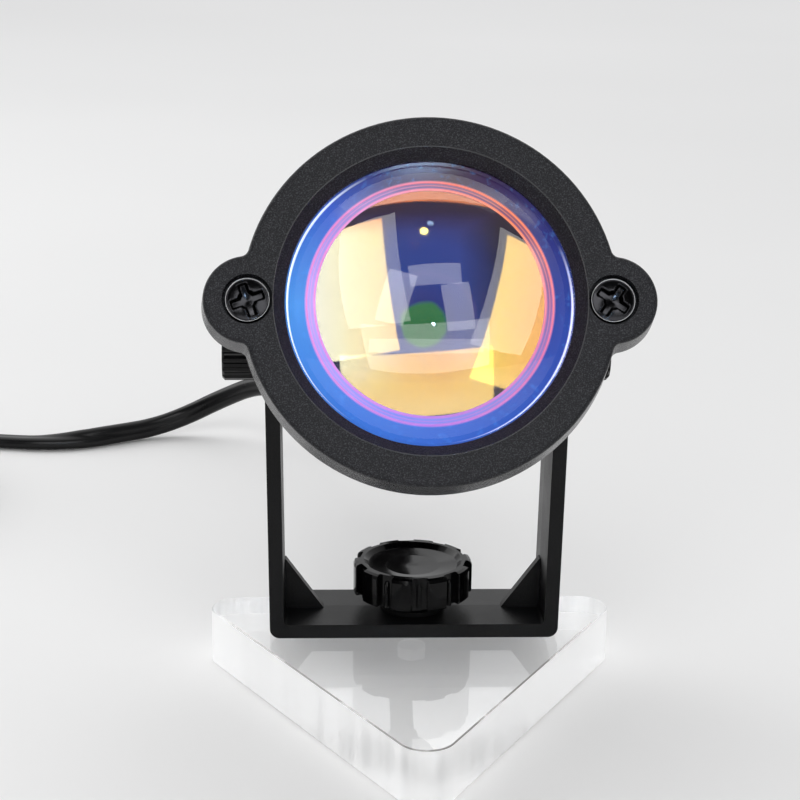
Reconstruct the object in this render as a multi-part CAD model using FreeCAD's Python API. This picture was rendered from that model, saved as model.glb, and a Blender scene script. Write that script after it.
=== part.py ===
"""Sunset projection lamp on a clear acrylic base.

A round lamp head tilts between the arms of a U bracket. The bracket is clamped to a
triangular acrylic base by a lobed knob. The head holds a light-emitting diode, a
condenser, a coloured filter and a domed front lens. A flat two-core lead leaves the
rear gland and ends in a coil and a plug.

Millimetres, +Z up, the lamp shines towards -Y. The origin lies on the underside of
the base, below the clamp knob's axis. Head pieces are drawn along +Z, with the front
at +Z and the pivot at the origin, and are then tilted and lifted into place.
"""

import FreeCAD, Part
import math
import os

V = FreeCAD.Vector
ORIGIN = V(0, 0, 0)
X_AXIS = V(1, 0, 0)
Y_AXIS = V(0, 1, 0)
Z_AXIS = V(0, 0, 1)

# ---------------------------------------------------------------- driving dimensions
# acrylic base
BASE_SIDE = 93.9  # side of the triangle before its corners are rounded
BASE_CORNER_R = 5.8
BASE_THICK = 12.0
BASE_SET_FORWARD = 14.1  # from the clamp axis to the triangle's centre
BASE_EDGE_BREAK = 0.25
TAPPED_DEPTH = 7.0

# bracket
BRACKET_WIDTH = 60.0
BRACKET_DEPTH = 19.6
BRACKET_WALL = 3.3
BRACKET_FLARE = 0.9  # degrees that each arm leans outwards
BRACKET_DRAFT = 0.35  # what the inner faces lose from mid-depth to the edges
BRACKET_OUTER_R = 2.1
BRACKET_INNER_R = 0.8
PIVOT_HEIGHT = 70.8  # above the surface that the lamp stands on
GUSSET_WIDTH = 7.9
GUSSET_HEIGHT = 10.9
GUSSET_THICK = 2.2
PIVOT_PAD_R = 5.4
PIVOT_PAD_RISE = 0.25  # how far each pad stands out of the arm

# clamp knob and its stud
CLAMP_KNOB_R = 12.5
CLAMP_KNOB_HEIGHT = 7.0
CLAMP_KNOB_LOBES = 10
CLAMP_GROOVE_DEPTH = 1.5
CLAMP_GROOVE_ANGLE = 17.5
CLAMP_GROOVE_BEVEL = 0.35
CLAMP_BEAD_R = 0.6
CLAMP_BEAD_DROP = 1.3  # from the knob's top to the top of each bead
CLAMP_DISH_R = 9.4
CLAMP_DISH_DEPTH = 1.5
CLAMP_RIM_ROUND = 0.9
CLAMP_HUB_R = 6.2
CLAMP_HUB_HEIGHT = 2.5
CLAMP_TURN = 22.5  # degrees from the front to the nearest lobe
STUD_R = 2.9
STUD_HEAD_SINK = 3.6  # how far the stud is moulded into the knob
WASHER_THICK = 1.0
CLAMP_WASHER_R = 6.8

# pivots and thumb knobs
PIVOT_SCREW_R = 2.0
THUMB_KNOB_R = 5.4
THUMB_KNOB_LENGTH = 7.6
THUMB_KNOB_FLUTES = 16
THUMB_FLUTE_R = 0.7
THUMB_EDGE_ROUND = 0.5
THUMB_SCREW_SINK = 5.0  # how far the screw is moulded into its knob
THUMB_WASHER_R = 5.0
THUMB_WASHER_THICK = 0.8
FRICTION_WASHER_THICK = 0.8
FRICTION_WASHER_R = 5.6
PIVOT_THREAD_LENGTH = 6.5

# head
HEAD_TILT = 26.4  # degrees above level
BEZEL_FRONT = 53.6  # from the pivot to the bezel's face
BEZEL_R = 34.3
BEZEL_DEPTH = 7.5
BEZEL_DRAFT = 0.5  # what the bezel's radius gains towards the rear
BEZEL_EDGE_ROUND = 0.9
BEZEL_MOUTH_R = 28.6
LENS_WINDOW_R = 26.5
LENS_WINDOW_SINK = 2.4
LENS_LIP = 0.8
EAR_OFFSET = 33.2
EAR_R = 8.1
EAR_NECK_ROUND = 1.6
EAR_POST_R = 4.6
EAR_POST_LENGTH = 8.0
BEZEL_SCREW_R = 2.0
BEZEL_SCREW_HEAD_R = 3.95
BEZEL_SCREW_HEAD_HEIGHT = 2.3
BEZEL_SCREW_RECESS_R = 4.6
BEZEL_SCREW_RECESS = 2.6
BEZEL_SCREW_LENGTH = 13.0
LENS_FLANGE_R = 28.0
LENS_FLANGE_THICK = 2.5
LENS_SPHERE_R = 44.0
GASKET_THICK = 0.8
HEAD_SIDE_GAP = 2.1  # between the head and each arm
BARREL_WALL = 2.3
BARREL_FLANGE_R = 33.0
BARREL_FLANGE_THICK = 4.0
FILTER_SEAT = 33.0  # from the pivot to the filter's rear face
FILTER_THICK = 1.1
FILTER_SHOULDER = 3.0
FILTER_LEDGE = 3.2
SPACER_WALL = 1.6
HOUSING_FRONT = 8.0  # where the barrel meets the rear housing
SPIGOT_LENGTH = 6.0
THERMAL_PAD_THICK = 0.5
LED_BOARD_R = 10.0
LED_BOARD_THICK = 1.6
LED_R = 3.2
LED_HEIGHT = 1.0
HOLDER_R = 9.0
HOLDER_WALL = 1.5
HOLDER_HEIGHT = 7.0
CONDENSER_SPHERE_R = 8.6
CONDENSER_EDGE = 1.5
BOARD_SCREW_R = 1.2
BOARD_SCREW_HEAD_R = 2.0
BOARD_SCREW_HEAD_HEIGHT = 1.2
BOARD_SCREW_LENGTH = 5.0
BOARD_SCREW_OFFSET = 14.0
BOARD_CLAMP_THICK = 1.2

# rear housing with its cooling fins
HOUSING_SHOULDER = -11.0  # where the shoulder starts to draw in
SHOULDER_STEP = 4.5  # across and along, its first step
HOUSING_REAR = -21.5
HOUSING_REAR_R = 12.5
HOUSING_CORE_R = 14.5
FIN_COUNT = 24
FIN_SLOT_WIDTH = 2.4
FIN_SLOT_START = -7.5
DRIVER_BAY_R = 9.6
DRIVER_BAY_DEPTH = 12.0
DRIVER_STEP_R = 8.2
DRIVER_BOARD_THICK = 1.2
DRIVER_BOARD_SINK = 6.0
INDUCTOR_R = 3.0
INDUCTOR_HEIGHT = 3.4
WIRE_R = 0.6
WIRE_OFFSET = 6.0
REAR_CAP_THICK = 1.8
REAR_CAP_SLEEVE = 1.2
GLAND_R = 8.0
GLAND_LENGTH = 10.5
GLAND_SPIGOT_R = 5.0
GLAND_FLATS = 6
GLAND_DOME_ROUND = 2.4
GROMMET_R = 4.3
GROMMET_TIP_R = 3.4
GROMMET_LENGTH = 4.5

# flat two-core lead
CORD_WIDTH = 5.4
CORD_SIDES = 8  # the tube is faceted, with its corners on the width's circle
COIL_GAP = 0.5
COIL_CORE_R = 20.6  # the centreline's least radius, where the spiral reverses
COIL_IN_COUNT = 12  # quarter turns that spiral in on the floor
COIL_OUT_COUNT = 13  # quarter turns that spiral out on top
COIL_X = -153.0
COIL_ENTRY_Y = 152.9
TIE_THICK = 0.6
TIE_WIDTH = 6.0
TIE_SLACK = 0.15
TIE_SIDE_SLACK = 0.5  # the turns bow across the tie's width
PLUG_LENGTH = 20.0
PLUG_WIDTH = 15.0
PLUG_HEIGHT = 8.0
PLUG_ROUND = 1.6
PLUG_SHELL_WIDTH = 12.0
PLUG_SHELL_HEIGHT = 4.5
PLUG_SHELL_LENGTH = 12.0
PLUG_SHELL_WALL = 0.4
PLUG_SHELL_ROUND = 0.6
PLUG_TONGUE_THICK = 1.9
PLUG_TAPER = 3.0

# clearances
RUNNING = 0.06  # radial, where a shaft turns in a hole
LOOSE = 0.3  # radial, where a piece drops into a seat
THREAD_CLEAR = 0.05

# ------------------------------------------------------------------- derived values
BRACKET_TOP = BASE_THICK + BRACKET_WALL
FLARE = math.tan(math.radians(BRACKET_FLARE))
ARM_OUTER_X = BRACKET_WIDTH / 2 + FLARE * (PIVOT_HEIGHT - BASE_THICK)
ARM_INNER_X = BRACKET_WIDTH / 2 - BRACKET_WALL + FLARE * (PIVOT_HEIGHT - BASE_THICK)
PAD_OUTER_X = ARM_OUTER_X + PIVOT_PAD_RISE
PAD_INNER_X = ARM_INNER_X - PIVOT_PAD_RISE
BOSS_FACE_X = PAD_INNER_X - FRICTION_WASHER_THICK
BEZEL_REAR = BEZEL_FRONT - BEZEL_DEPTH
LENS_SEAT = BEZEL_FRONT - LENS_WINDOW_SINK - LENS_LIP
LENS_BACK = LENS_SEAT - LENS_FLANGE_THICK
BARREL_NOSE = LENS_BACK - GASKET_THICK
HOUSING_R = ARM_INNER_X - HEAD_SIDE_GAP
BARREL_R = HOUSING_R
BORE_R = BARREL_R - BARREL_WALL
FILTER_CLEAR_R = BORE_R - FILTER_LEDGE
HEAT_FACE = HOUSING_FRONT + SPIGOT_LENGTH
LED_BOARD_FACE = HEAT_FACE + THERMAL_PAD_THICK + LED_BOARD_THICK
DRIVER_SEAT = HOUSING_REAR + REAR_CAP_THICK + DRIVER_BOARD_SINK
GLAND_END = HOUSING_REAR - GLAND_LENGTH
CORD_EXIT = GLAND_END - GROMMET_LENGTH
CORD_R = CORD_WIDTH / 2
COIL_PITCH = CORD_WIDTH + COIL_GAP
COIL_LOW_Z = TIE_THICK + TIE_SLACK + CORD_R
COIL_HIGH_Z = COIL_LOW_Z + COIL_PITCH
COIL_ENTRY_R = COIL_CORE_R + COIL_IN_COUNT * COIL_PITCH / 4
COIL_EXIT_R = COIL_CORE_R + COIL_OUT_COUNT * COIL_PITCH / 4
COIL_Y = COIL_ENTRY_Y - COIL_ENTRY_R
CAP_SEAT_R = HOUSING_REAR_R - 0.8


# ------------------------------------------------------------------------- helpers
def revolve(points):
    """A solid of revolution about Z from (radius, height) corners."""
    corners = [V(r, 0, z) for r, z in points]
    face = Part.Face(Part.makePolygon(corners + corners[:1]))
    return face.revolve(ORIGIN, Z_AXIS, 360)


def disc(radius, low, high, x=0.0, y=0.0):
    """A cylinder along Z from low to high."""
    return Part.makeCylinder(radius, high - low, V(x, y, low), Z_AXIS)


def ring(outer, inner, low, high):
    """A plain ring about Z."""
    return disc(outer, low, high).cut(disc(inner, low, high))


def rod_x(radius, x0, x1, z=0.0):
    """A cylinder along X from x0 to x1 at height z."""
    low, high = sorted((x0, x1))
    return Part.makeCylinder(radius, high - low, V(low, 0, z), X_AXIS)


def ring_x(outer, inner, x0, x1, z=0.0):
    """A plain ring about an axis along X."""
    return rod_x(outer, x0, x1, z).cut(rod_x(inner, x0, x1, z))


def corner_arc(before, corner, after, radius):
    """The start, middle and end of the arc that rounds a corner."""
    back = (before - corner).normalize()
    onward = (after - corner).normalize()
    half = back.getAngle(onward) / 2
    reach = radius / math.tan(half)
    inward = (back + onward).normalize()
    centre = corner + inward * (radius / math.sin(half))
    return corner + back * reach, centre - inward * radius, corner + onward * reach


def rounded_wire(points, radii, closed=True):
    """Straight runs joined by tangent arcs; a radius of 0 keeps a corner sharp."""
    count = len(points)
    edges = []
    last = None
    first = None
    for i, point in enumerate(points):
        is_end = not closed and i in (0, count - 1)
        if is_end or radii[i] == 0:
            start, middle, end = point, None, point
        else:
            start, middle, end = corner_arc(points[i - 1], point, points[(i + 1) % count], radii[i])
        if last is not None and (start - last).Length > 1e-6:
            edges.append(Part.LineSegment(last, start).toShape())
        if middle is not None:
            edges.append(Part.Arc(start, middle, end).toShape())
        if first is None:
            first = start
        last = end
    if closed and (first - last).Length > 1e-6:
        edges.append(Part.LineSegment(last, first).toShape())
    return Part.Wire(edges)


def turned(shape, angle):
    """A copy turned about Z by an angle in degrees."""
    copy = shape.copy()
    copy.rotate(ORIGIN, Z_AXIS, angle)
    return copy


def on_head(shape):
    """Tilts a head piece and lifts it to the pivot."""
    copy = shape.copy()
    copy.rotate(ORIGIN, X_AXIS, 90 - HEAD_TILT)
    copy.translate(V(0, 0, PIVOT_HEIGHT))
    return copy


def head_point(s, x=0.0, up=0.0):
    """The place of a head point: s along the lamp's axis, x across, up square to both."""
    tilt = math.radians(HEAD_TILT)
    y = -s * math.cos(tilt) + up * math.sin(tilt)
    z = s * math.sin(tilt) + up * math.cos(tilt)
    return V(x, y, PIVOT_HEIGHT + z)


# ---------------------------------------------------------------------------- base
def acrylic_base():
    """A polished triangular plate with round corners and a blind tapped hole."""
    edges = []
    last = None
    first = None
    to_corner = BASE_SIDE / math.sqrt(3) - 2 * BASE_CORNER_R
    for heading in (-90, 30, 150):
        angles = [math.radians(heading + turn) for turn in (-60, 0, 60)]
        way = math.radians(heading)
        cx = to_corner * math.cos(way)
        cy = to_corner * math.sin(way) - BASE_SET_FORWARD
        arc = [V(cx + BASE_CORNER_R * math.cos(a), cy + BASE_CORNER_R * math.sin(a), 0) for a in angles]
        if last is not None:
            edges.append(Part.LineSegment(last, arc[0]).toShape())
        edges.append(Part.Arc(*arc).toShape())
        first = first or arc[0]
        last = arc[2]
    edges.append(Part.LineSegment(last, first).toShape())
    plate = Part.Face(Part.Wire(edges)).extrude(V(0, 0, BASE_THICK))
    rims = [e for e in plate.Edges if abs(e.BoundBox.ZMax - e.BoundBox.ZMin) < 1e-6]
    plate = plate.makeChamfer(BASE_EDGE_BREAK, rims)
    return plate.cut(disc(STUD_R + THREAD_CLEAR, BASE_THICK - TAPPED_DEPTH, BASE_THICK))


# ------------------------------------------------------------------------- bracket
def bracket_section(y, inset):
    """The U outline at depth y; inset thins its inner faces."""
    half = BRACKET_WIDTH / 2
    height = PIVOT_HEIGHT + BRACKET_DEPTH / 2 - BASE_THICK
    lean = FLARE * height
    floor = BRACKET_TOP - inset
    inner = half - BRACKET_WALL + inset
    points = [
        (-half, BASE_THICK, BRACKET_OUTER_R),
        (half, BASE_THICK, BRACKET_OUTER_R),
        (half + lean, BASE_THICK + height, 0),
        (inner + lean, BASE_THICK + height, 0),
        (inner + FLARE * BRACKET_WALL, floor, BRACKET_INNER_R),
        (-inner - FLARE * BRACKET_WALL, floor, BRACKET_INNER_R),
        (-inner - lean, BASE_THICK + height, 0),
        (-half - lean, BASE_THICK + height, 0),
    ]
    return rounded_wire([V(x, y, z) for x, z, _ in points], [r for _, _, r in points])


def gusset(side):
    """A thin web that stiffens the corner between the plate and an arm."""
    wall = BRACKET_WIDTH / 2 - BRACKET_WALL
    root = wall + BRACKET_WALL / 2
    low = BRACKET_TOP - BRACKET_WALL / 2
    y = -GUSSET_THICK / 2
    corners = [
        V(side * (wall - GUSSET_WIDTH), y, BRACKET_TOP),
        V(side * (wall - GUSSET_WIDTH), y, low),
        V(side * root, y, low),
        V(side * root, y, BRACKET_TOP + GUSSET_HEIGHT),
        V(side * wall, y, BRACKET_TOP + GUSSET_HEIGHT),
    ]
    face = Part.Face(Part.makePolygon(corners + corners[:1]))
    return face.extrude(V(0, GUSSET_THICK, 0))


def arm_end_trim():
    """The side outline of the arms, with a round end about the pivot."""
    reach = BRACKET_WIDTH
    half = BRACKET_DEPTH / 2
    strip = Part.makeBox(2 * reach, BRACKET_DEPTH, PIVOT_HEIGHT - BASE_THICK, V(-reach, -half, BASE_THICK))
    return strip.fuse(rod_x(half, -reach, reach, PIVOT_HEIGHT))


def bracket():
    """A moulded U bracket, drafted to both sides of a parting line at mid-depth."""
    half = BRACKET_DEPTH / 2
    middle = bracket_section(0, 0)
    body = Part.makeLoft([bracket_section(-half, BRACKET_DRAFT), middle], True, True)
    body = body.fuse(Part.makeLoft([middle, bracket_section(half, BRACKET_DRAFT)], True, True))
    body = body.common(arm_end_trim())
    for side in (-1, 1):
        body = body.fuse(rod_x(PIVOT_PAD_R, side * PAD_INNER_X, side * PAD_OUTER_X, PIVOT_HEIGHT))
        body = body.fuse(gusset(side))
    reach = BRACKET_WIDTH
    body = body.cut(rod_x(PIVOT_SCREW_R + RUNNING, -reach, reach, PIVOT_HEIGHT))
    return body.cut(disc(STUD_R + RUNNING, BASE_THICK, BRACKET_TOP)).removeSplitter()


# ----------------------------------------------------------------------- clamp knob
def clamp_knob():
    """A lobed hand knob with a dished top and a slim bead in each groove."""
    low = BRACKET_TOP + WASHER_THICK
    skirt = low + CLAMP_HUB_HEIGHT
    top = skirt + CLAMP_KNOB_HEIGHT
    rim = CLAMP_RIM_ROUND
    slope = rim * 0.3
    outline = [
        (0, low),
        (CLAMP_HUB_R, low),
        (CLAMP_HUB_R, skirt),
        (CLAMP_KNOB_R - slope, skirt),
        (CLAMP_KNOB_R, skirt + slope),
        (CLAMP_KNOB_R, top - rim),
        (CLAMP_KNOB_R - slope, top - slope),
        (CLAMP_KNOB_R - rim, top),
        (CLAMP_DISH_R + rim, top),
        (CLAMP_DISH_R, top - rim),
        (CLAMP_DISH_R * 0.6, top - CLAMP_DISH_DEPTH * 0.9),
        (0, top - CLAMP_DISH_DEPTH),
    ]
    body = revolve(outline)
    middles = [CLAMP_TURN - 90 + (i + 0.5) * 360 / CLAMP_KNOB_LOBES for i in range(CLAMP_KNOB_LOBES)]
    groove = clamp_groove(skirt, top)
    bead = clamp_bead(skirt, top - CLAMP_BEAD_DROP)
    for middle in middles:
        body = body.cut(turned(groove, middle))
    for middle in middles:
        body = body.fuse(turned(bead, middle))
    return body.cut(disc(STUD_R, low, skirt + STUD_HEAD_SINK))


def clamp_groove(skirt, top):
    """One groove of the knob's rim, along +X, with bevelled edges."""
    inner = CLAMP_KNOB_R - CLAMP_GROOVE_DEPTH
    edge = CLAMP_KNOB_R - CLAMP_GROOVE_BEVEL
    outer = CLAMP_KNOB_R + 1
    half = inner * math.tan(math.radians(CLAMP_GROOVE_ANGLE / 2))
    wide = half + outer - edge
    outline = [(inner, -half), (edge, -half), (outer, -wide), (outer, wide), (edge, half), (inner, half)]
    corners = [V(x, y, skirt - 1) for x, y in outline]
    return Part.Face(Part.makePolygon(corners + corners[:1])).extrude(V(0, 0, top - skirt + 2))


def clamp_bead(skirt, high):
    """The slim bead in a groove, along +X, with a tapered top."""
    x = CLAMP_KNOB_R - CLAMP_GROOVE_DEPTH
    tip = high - CLAMP_BEAD_R
    taper = Part.makeCone(CLAMP_BEAD_R, CLAMP_BEAD_R / 2, CLAMP_BEAD_R, V(x, 0, tip))
    return disc(CLAMP_BEAD_R, skirt, tip, x).fuse(taper)


def clamp_stud():
    """The steel stud moulded into the knob; it screws into the base."""
    low = BASE_THICK - TAPPED_DEPTH + LOOSE
    return disc(STUD_R, low, BRACKET_TOP + WASHER_THICK + CLAMP_HUB_HEIGHT + STUD_HEAD_SINK)


def clamp_washer():
    """The washer between the knob's hub and the bracket."""
    return ring(CLAMP_WASHER_R, STUD_R + LOOSE, BRACKET_TOP, BRACKET_TOP + WASHER_THICK)


# ---------------------------------------------------------------------- thumb knobs
def thumb_knob(side):
    """A fluted thumb knob on the outside of an arm."""
    start = PAD_OUTER_X + THUMB_WASHER_THICK
    end = start + THUMB_KNOB_LENGTH
    edge = THUMB_EDGE_ROUND
    outline = [
        (0, start),
        (THUMB_KNOB_R - edge, start),
        (THUMB_KNOB_R, start + edge),
        (THUMB_KNOB_R, end - edge),
        (THUMB_KNOB_R - edge, end),
        (0, end),
    ]
    body = revolve(outline)
    for i in range(THUMB_KNOB_FLUTES):
        way = 2 * math.pi * i / THUMB_KNOB_FLUTES
        x = (THUMB_KNOB_R + THUMB_FLUTE_R * 0.25) * math.cos(way)
        y = (THUMB_KNOB_R + THUMB_FLUTE_R * 0.25) * math.sin(way)
        body = body.cut(disc(THUMB_FLUTE_R, start - 1, end + 1, x, y))
    body = body.cut(disc(PIVOT_SCREW_R, start, start + THUMB_SCREW_SINK))
    body.rotate(ORIGIN, Y_AXIS, 90 * side)
    body.translate(V(0, 0, PIVOT_HEIGHT))
    return body


def pivot_screw(side):
    """The screw that is moulded into a thumb knob and carries the head."""
    outer = PAD_OUTER_X + THUMB_WASHER_THICK + THUMB_SCREW_SINK
    return rod_x(PIVOT_SCREW_R, side * (BOSS_FACE_X - PIVOT_THREAD_LENGTH), side * outer, PIVOT_HEIGHT)


def thumb_washer(side):
    """The steel washer under a thumb knob."""
    end = PAD_OUTER_X + THUMB_WASHER_THICK
    return ring_x(THUMB_WASHER_R, PIVOT_SCREW_R + RUNNING, side * PAD_OUTER_X, side * end, PIVOT_HEIGHT)


def friction_washer(side):
    """The fibre washer between the head's boss and an arm."""
    return ring_x(FRICTION_WASHER_R, PIVOT_SCREW_R + RUNNING, side * BOSS_FACE_X, side * PAD_INNER_X)


# ------------------------------------------------------------------------ lamp head
def eared_outline(radius, ear_radius, z):
    """A circle with an ear at each side and small rounds in the necks."""
    neck = EAR_NECK_ROUND
    side_a = radius + neck
    side_b = ear_radius + neck
    along = (side_a**2 - side_b**2 + EAR_OFFSET**2) / (2 * EAR_OFFSET)
    up = math.sqrt(side_a**2 - along**2)
    on_disc = math.atan2(up, along)
    on_ear = math.atan2(up, along - EAR_OFFSET)

    def on_circle(cx, r, angle, cy=0.0):
        return V(cx + r * math.cos(angle), cy + r * math.sin(angle), z)

    def neck_arc(sx, sy):
        a = on_circle(0, radius, on_disc)
        b = on_circle(EAR_OFFSET, ear_radius, on_ear)
        centre = V(along, up, z)
        middle = centre + ((a + b) * 0.5 - centre).normalize() * neck
        return [V(sx * p.x, sy * p.y, z) for p in (a, middle, b)]

    top_right = neck_arc(1, 1)
    top_left = neck_arc(-1, 1)
    low_left = neck_arc(-1, -1)
    low_right = neck_arc(1, -1)
    arcs = [
        Part.Arc(*top_right),
        Part.Arc(top_right[2], V(EAR_OFFSET + ear_radius, 0, z), low_right[2]),
        Part.Arc(*low_right[::-1]),
        Part.Arc(low_right[0], V(0, -radius, z), low_left[0]),
        Part.Arc(*low_left),
        Part.Arc(low_left[2], V(-EAR_OFFSET - ear_radius, 0, z), top_left[2]),
        Part.Arc(*top_left[::-1]),
        Part.Arc(top_left[0], V(0, radius, z), top_right[0]),
    ]
    return Part.Wire([arc.toShape() for arc in arcs])


def front_bezel():
    """The front ring: ears, rounded front edge, bevelled mouth and lens pocket."""
    rear = eared_outline(BEZEL_R + BEZEL_DRAFT, EAR_R + BEZEL_DRAFT, BEZEL_REAR)
    shoulder = eared_outline(BEZEL_R, EAR_R, BEZEL_FRONT - BEZEL_EDGE_ROUND)
    body = Part.makeLoft([rear, shoulder], True, True)
    body = body.fuse(Part.Face(shoulder).extrude(V(0, 0, BEZEL_EDGE_ROUND))).removeSplitter()
    rim = [e for e in body.Edges if e.BoundBox.ZMin > BEZEL_FRONT - 1e-3]
    body = body.makeFillet(BEZEL_EDGE_ROUND * 0.98, rim)
    window = BEZEL_FRONT - LENS_WINDOW_SINK
    mouth = [
        (0, BEZEL_FRONT + 1),
        (BEZEL_MOUTH_R, BEZEL_FRONT + 1),
        (BEZEL_MOUTH_R, BEZEL_FRONT),
        (LENS_WINDOW_R, window),
        (LENS_WINDOW_R, LENS_SEAT),
        (LENS_FLANGE_R + LOOSE, LENS_SEAT),
        (LENS_FLANGE_R + LOOSE, BEZEL_REAR - 1),
        (0, BEZEL_REAR - 1),
    ]
    body = body.cut(revolve(mouth))
    for side in (-1, 1):
        x = side * EAR_OFFSET
        body = body.cut(disc(BEZEL_SCREW_R + LOOSE, BEZEL_REAR - 1, BEZEL_FRONT + 1, x))
        body = body.cut(disc(BEZEL_SCREW_RECESS_R, BEZEL_FRONT - BEZEL_SCREW_RECESS, BEZEL_FRONT + 1, x))
    return body


def cross_recess(top):
    """A cross recess: two crossing slots over a tapered pit."""
    length = BEZEL_SCREW_HEAD_R * 1.4
    width = BEZEL_SCREW_HEAD_R * 0.32
    depth = BEZEL_SCREW_HEAD_HEIGHT * 0.5
    slot = Part.makeBox(length, width, depth + 1, V(-length / 2, -width / 2, top - depth))
    pit = Part.makeCone(width * 0.3, width, depth * 1.5, V(0, 0, top - depth * 1.5))
    return slot.fuse(turned(slot, 90)).fuse(pit)


def bezel_screws():
    """Two pan-head screws with cross recesses, one in each ear."""
    seat = BEZEL_FRONT - BEZEL_SCREW_RECESS
    top = seat + BEZEL_SCREW_HEAD_HEIGHT
    shoulder = BEZEL_SCREW_HEAD_HEIGHT * 0.55
    head = [
        (0, seat - BEZEL_SCREW_LENGTH),
        (BEZEL_SCREW_R, seat - BEZEL_SCREW_LENGTH),
        (BEZEL_SCREW_R, seat),
        (BEZEL_SCREW_HEAD_R, seat),
    ]
    for step in range(5):
        angle = math.pi / 2 * step / 4
        r = BEZEL_SCREW_HEAD_R - shoulder * (1 - math.cos(angle))
        head.append((r, top - shoulder * 1.05 + shoulder * math.sin(angle)))
    head.append((0, top))
    screw = revolve(head)
    screws = []
    for side in (-1, 1):
        copy = screw.cut(turned(cross_recess(top), 45 + 27 * side))
        copy.translate(V(side * EAR_OFFSET, 0, 0))
        screws.append(copy)
    return Part.makeCompound(screws)


def dome(foot_radius, foot, sphere_r):
    """The (radius, height) of a dome's foot circle, its middle and its tip."""
    centre = foot - math.sqrt(sphere_r**2 - foot_radius**2)
    half = math.asin(foot_radius / sphere_r) / 2
    middle = (sphere_r * math.sin(half), centre + sphere_r * math.cos(half))
    return (foot_radius, foot), middle, (0, centre + sphere_r)


def domed_disc(flange_r, low, flange_top, dome_r, foot, sphere_r):
    """A plano-convex lens with a flange."""
    start, middle, tip = [V(r, 0, z) for r, z in dome(dome_r, foot, sphere_r)]
    corners = [V(0, 0, low), V(flange_r, 0, low), V(flange_r, 0, flange_top), V(dome_r, 0, flange_top), start]
    corners = [p for i, p in enumerate(corners) if i == 0 or (p - corners[i - 1]).Length > 1e-6]
    edges = [Part.LineSegment(a, b).toShape() for a, b in zip(corners, corners[1:])]
    edges.append(Part.Arc(start, middle, tip).toShape())
    edges.append(Part.LineSegment(tip, corners[0]).toShape())
    return Part.Face(Part.Wire(edges)).revolve(ORIGIN, Z_AXIS, 360)


def front_lens():
    """The domed front lens, held by its flange behind the bezel's lip."""
    foot = BEZEL_FRONT - LENS_WINDOW_SINK
    return domed_disc(LENS_FLANGE_R, LENS_BACK, LENS_SEAT, LENS_WINDOW_R - LOOSE, foot, LENS_SPHERE_R)


def lens_gasket():
    """The soft ring between the lens and the barrel's nose."""
    return ring(LENS_FLANGE_R, BORE_R - SPACER_WALL, BARREL_NOSE, LENS_BACK)


def front_barrel():
    """The front half of the housing: eared flange, nose, bore and filter shoulder."""
    back = BEZEL_REAR - BARREL_FLANGE_THICK
    ear = EAR_R - (BEZEL_R - BARREL_FLANGE_R)
    flange = Part.Face(eared_outline(BARREL_FLANGE_R, ear, back)).extrude(V(0, 0, BARREL_FLANGE_THICK))
    body = flange.fuse(disc(BARREL_R, HOUSING_FRONT, BEZEL_REAR))
    body = body.fuse(disc(LENS_FLANGE_R, BEZEL_REAR, BARREL_NOSE))
    for side in (-1, 1):
        body = body.fuse(disc(EAR_POST_R, back - EAR_POST_LENGTH, back, side * EAR_OFFSET))
    bore = [
        (0, BARREL_NOSE + 1),
        (BORE_R, BARREL_NOSE + 1),
        (BORE_R, FILTER_SEAT),
        (FILTER_CLEAR_R, FILTER_SEAT),
        (FILTER_CLEAR_R, FILTER_SEAT - FILTER_SHOULDER),
        (BORE_R, FILTER_SEAT - FILTER_SHOULDER - BARREL_WALL),
        (BORE_R, HOUSING_FRONT - 1),
        (0, HOUSING_FRONT - 1),
    ]
    body = body.cut(revolve(bore))
    depth = BEZEL_FRONT - BEZEL_SCREW_RECESS - BEZEL_SCREW_LENGTH - LOOSE
    for side in (-1, 1):
        body = body.cut(disc(BEZEL_SCREW_R, depth, BEZEL_REAR + 1, side * EAR_OFFSET))
    return body


def filter_spacer():
    """The black tube that holds the filter down on its shoulder."""
    return ring(BORE_R - RUNNING, BORE_R - SPACER_WALL, FILTER_SEAT + FILTER_THICK, BARREL_NOSE)


def dichroic_filter():
    """The coated glass disc that colours the light."""
    return disc(BORE_R - LOOSE, FILTER_SEAT, FILTER_SEAT + FILTER_THICK)


def condenser_holder():
    """The cup that seats on the board and carries the condenser."""
    low = LED_BOARD_FACE
    high = low + HOLDER_HEIGHT
    inner = HOLDER_R - HOLDER_WALL
    step = high - CONDENSER_EDGE
    outline = [
        (inner - HOLDER_WALL, low),
        (HOLDER_R, low),
        (HOLDER_R, high),
        (inner, high),
        (inner, step),
        (inner - HOLDER_WALL, step),
    ]
    return revolve(outline)


def condenser_lens():
    """The small plano-convex lens over the emitter."""
    low = LED_BOARD_FACE + HOLDER_HEIGHT - CONDENSER_EDGE
    foot = low + CONDENSER_EDGE
    radius = HOLDER_R - HOLDER_WALL - RUNNING
    return domed_disc(radius, low, foot, radius, foot, CONDENSER_SPHERE_R)


def led_board():
    """The round metal-core board."""
    low = HEAT_FACE + THERMAL_PAD_THICK
    board = disc(LED_BOARD_R, low, LED_BOARD_FACE)
    for side in (-1, 1):
        board = board.cut(disc(WIRE_R + RUNNING, low, LED_BOARD_FACE, 0, side * WIRE_OFFSET))
    return board


def led_emitter():
    """The emitter on the middle of its board."""
    return disc(LED_R, LED_BOARD_FACE, LED_BOARD_FACE + LED_HEIGHT)


def thermal_pad():
    """The soft pad that carries heat from the board to the housing."""
    pad = disc(LED_BOARD_R, HEAT_FACE, HEAT_FACE + THERMAL_PAD_THICK)
    for side in (-1, 1):
        pad = pad.cut(disc(WIRE_R + RUNNING, HEAT_FACE, HEAT_FACE + THERMAL_PAD_THICK, 0, side * WIRE_OFFSET))
    return pad


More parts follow.
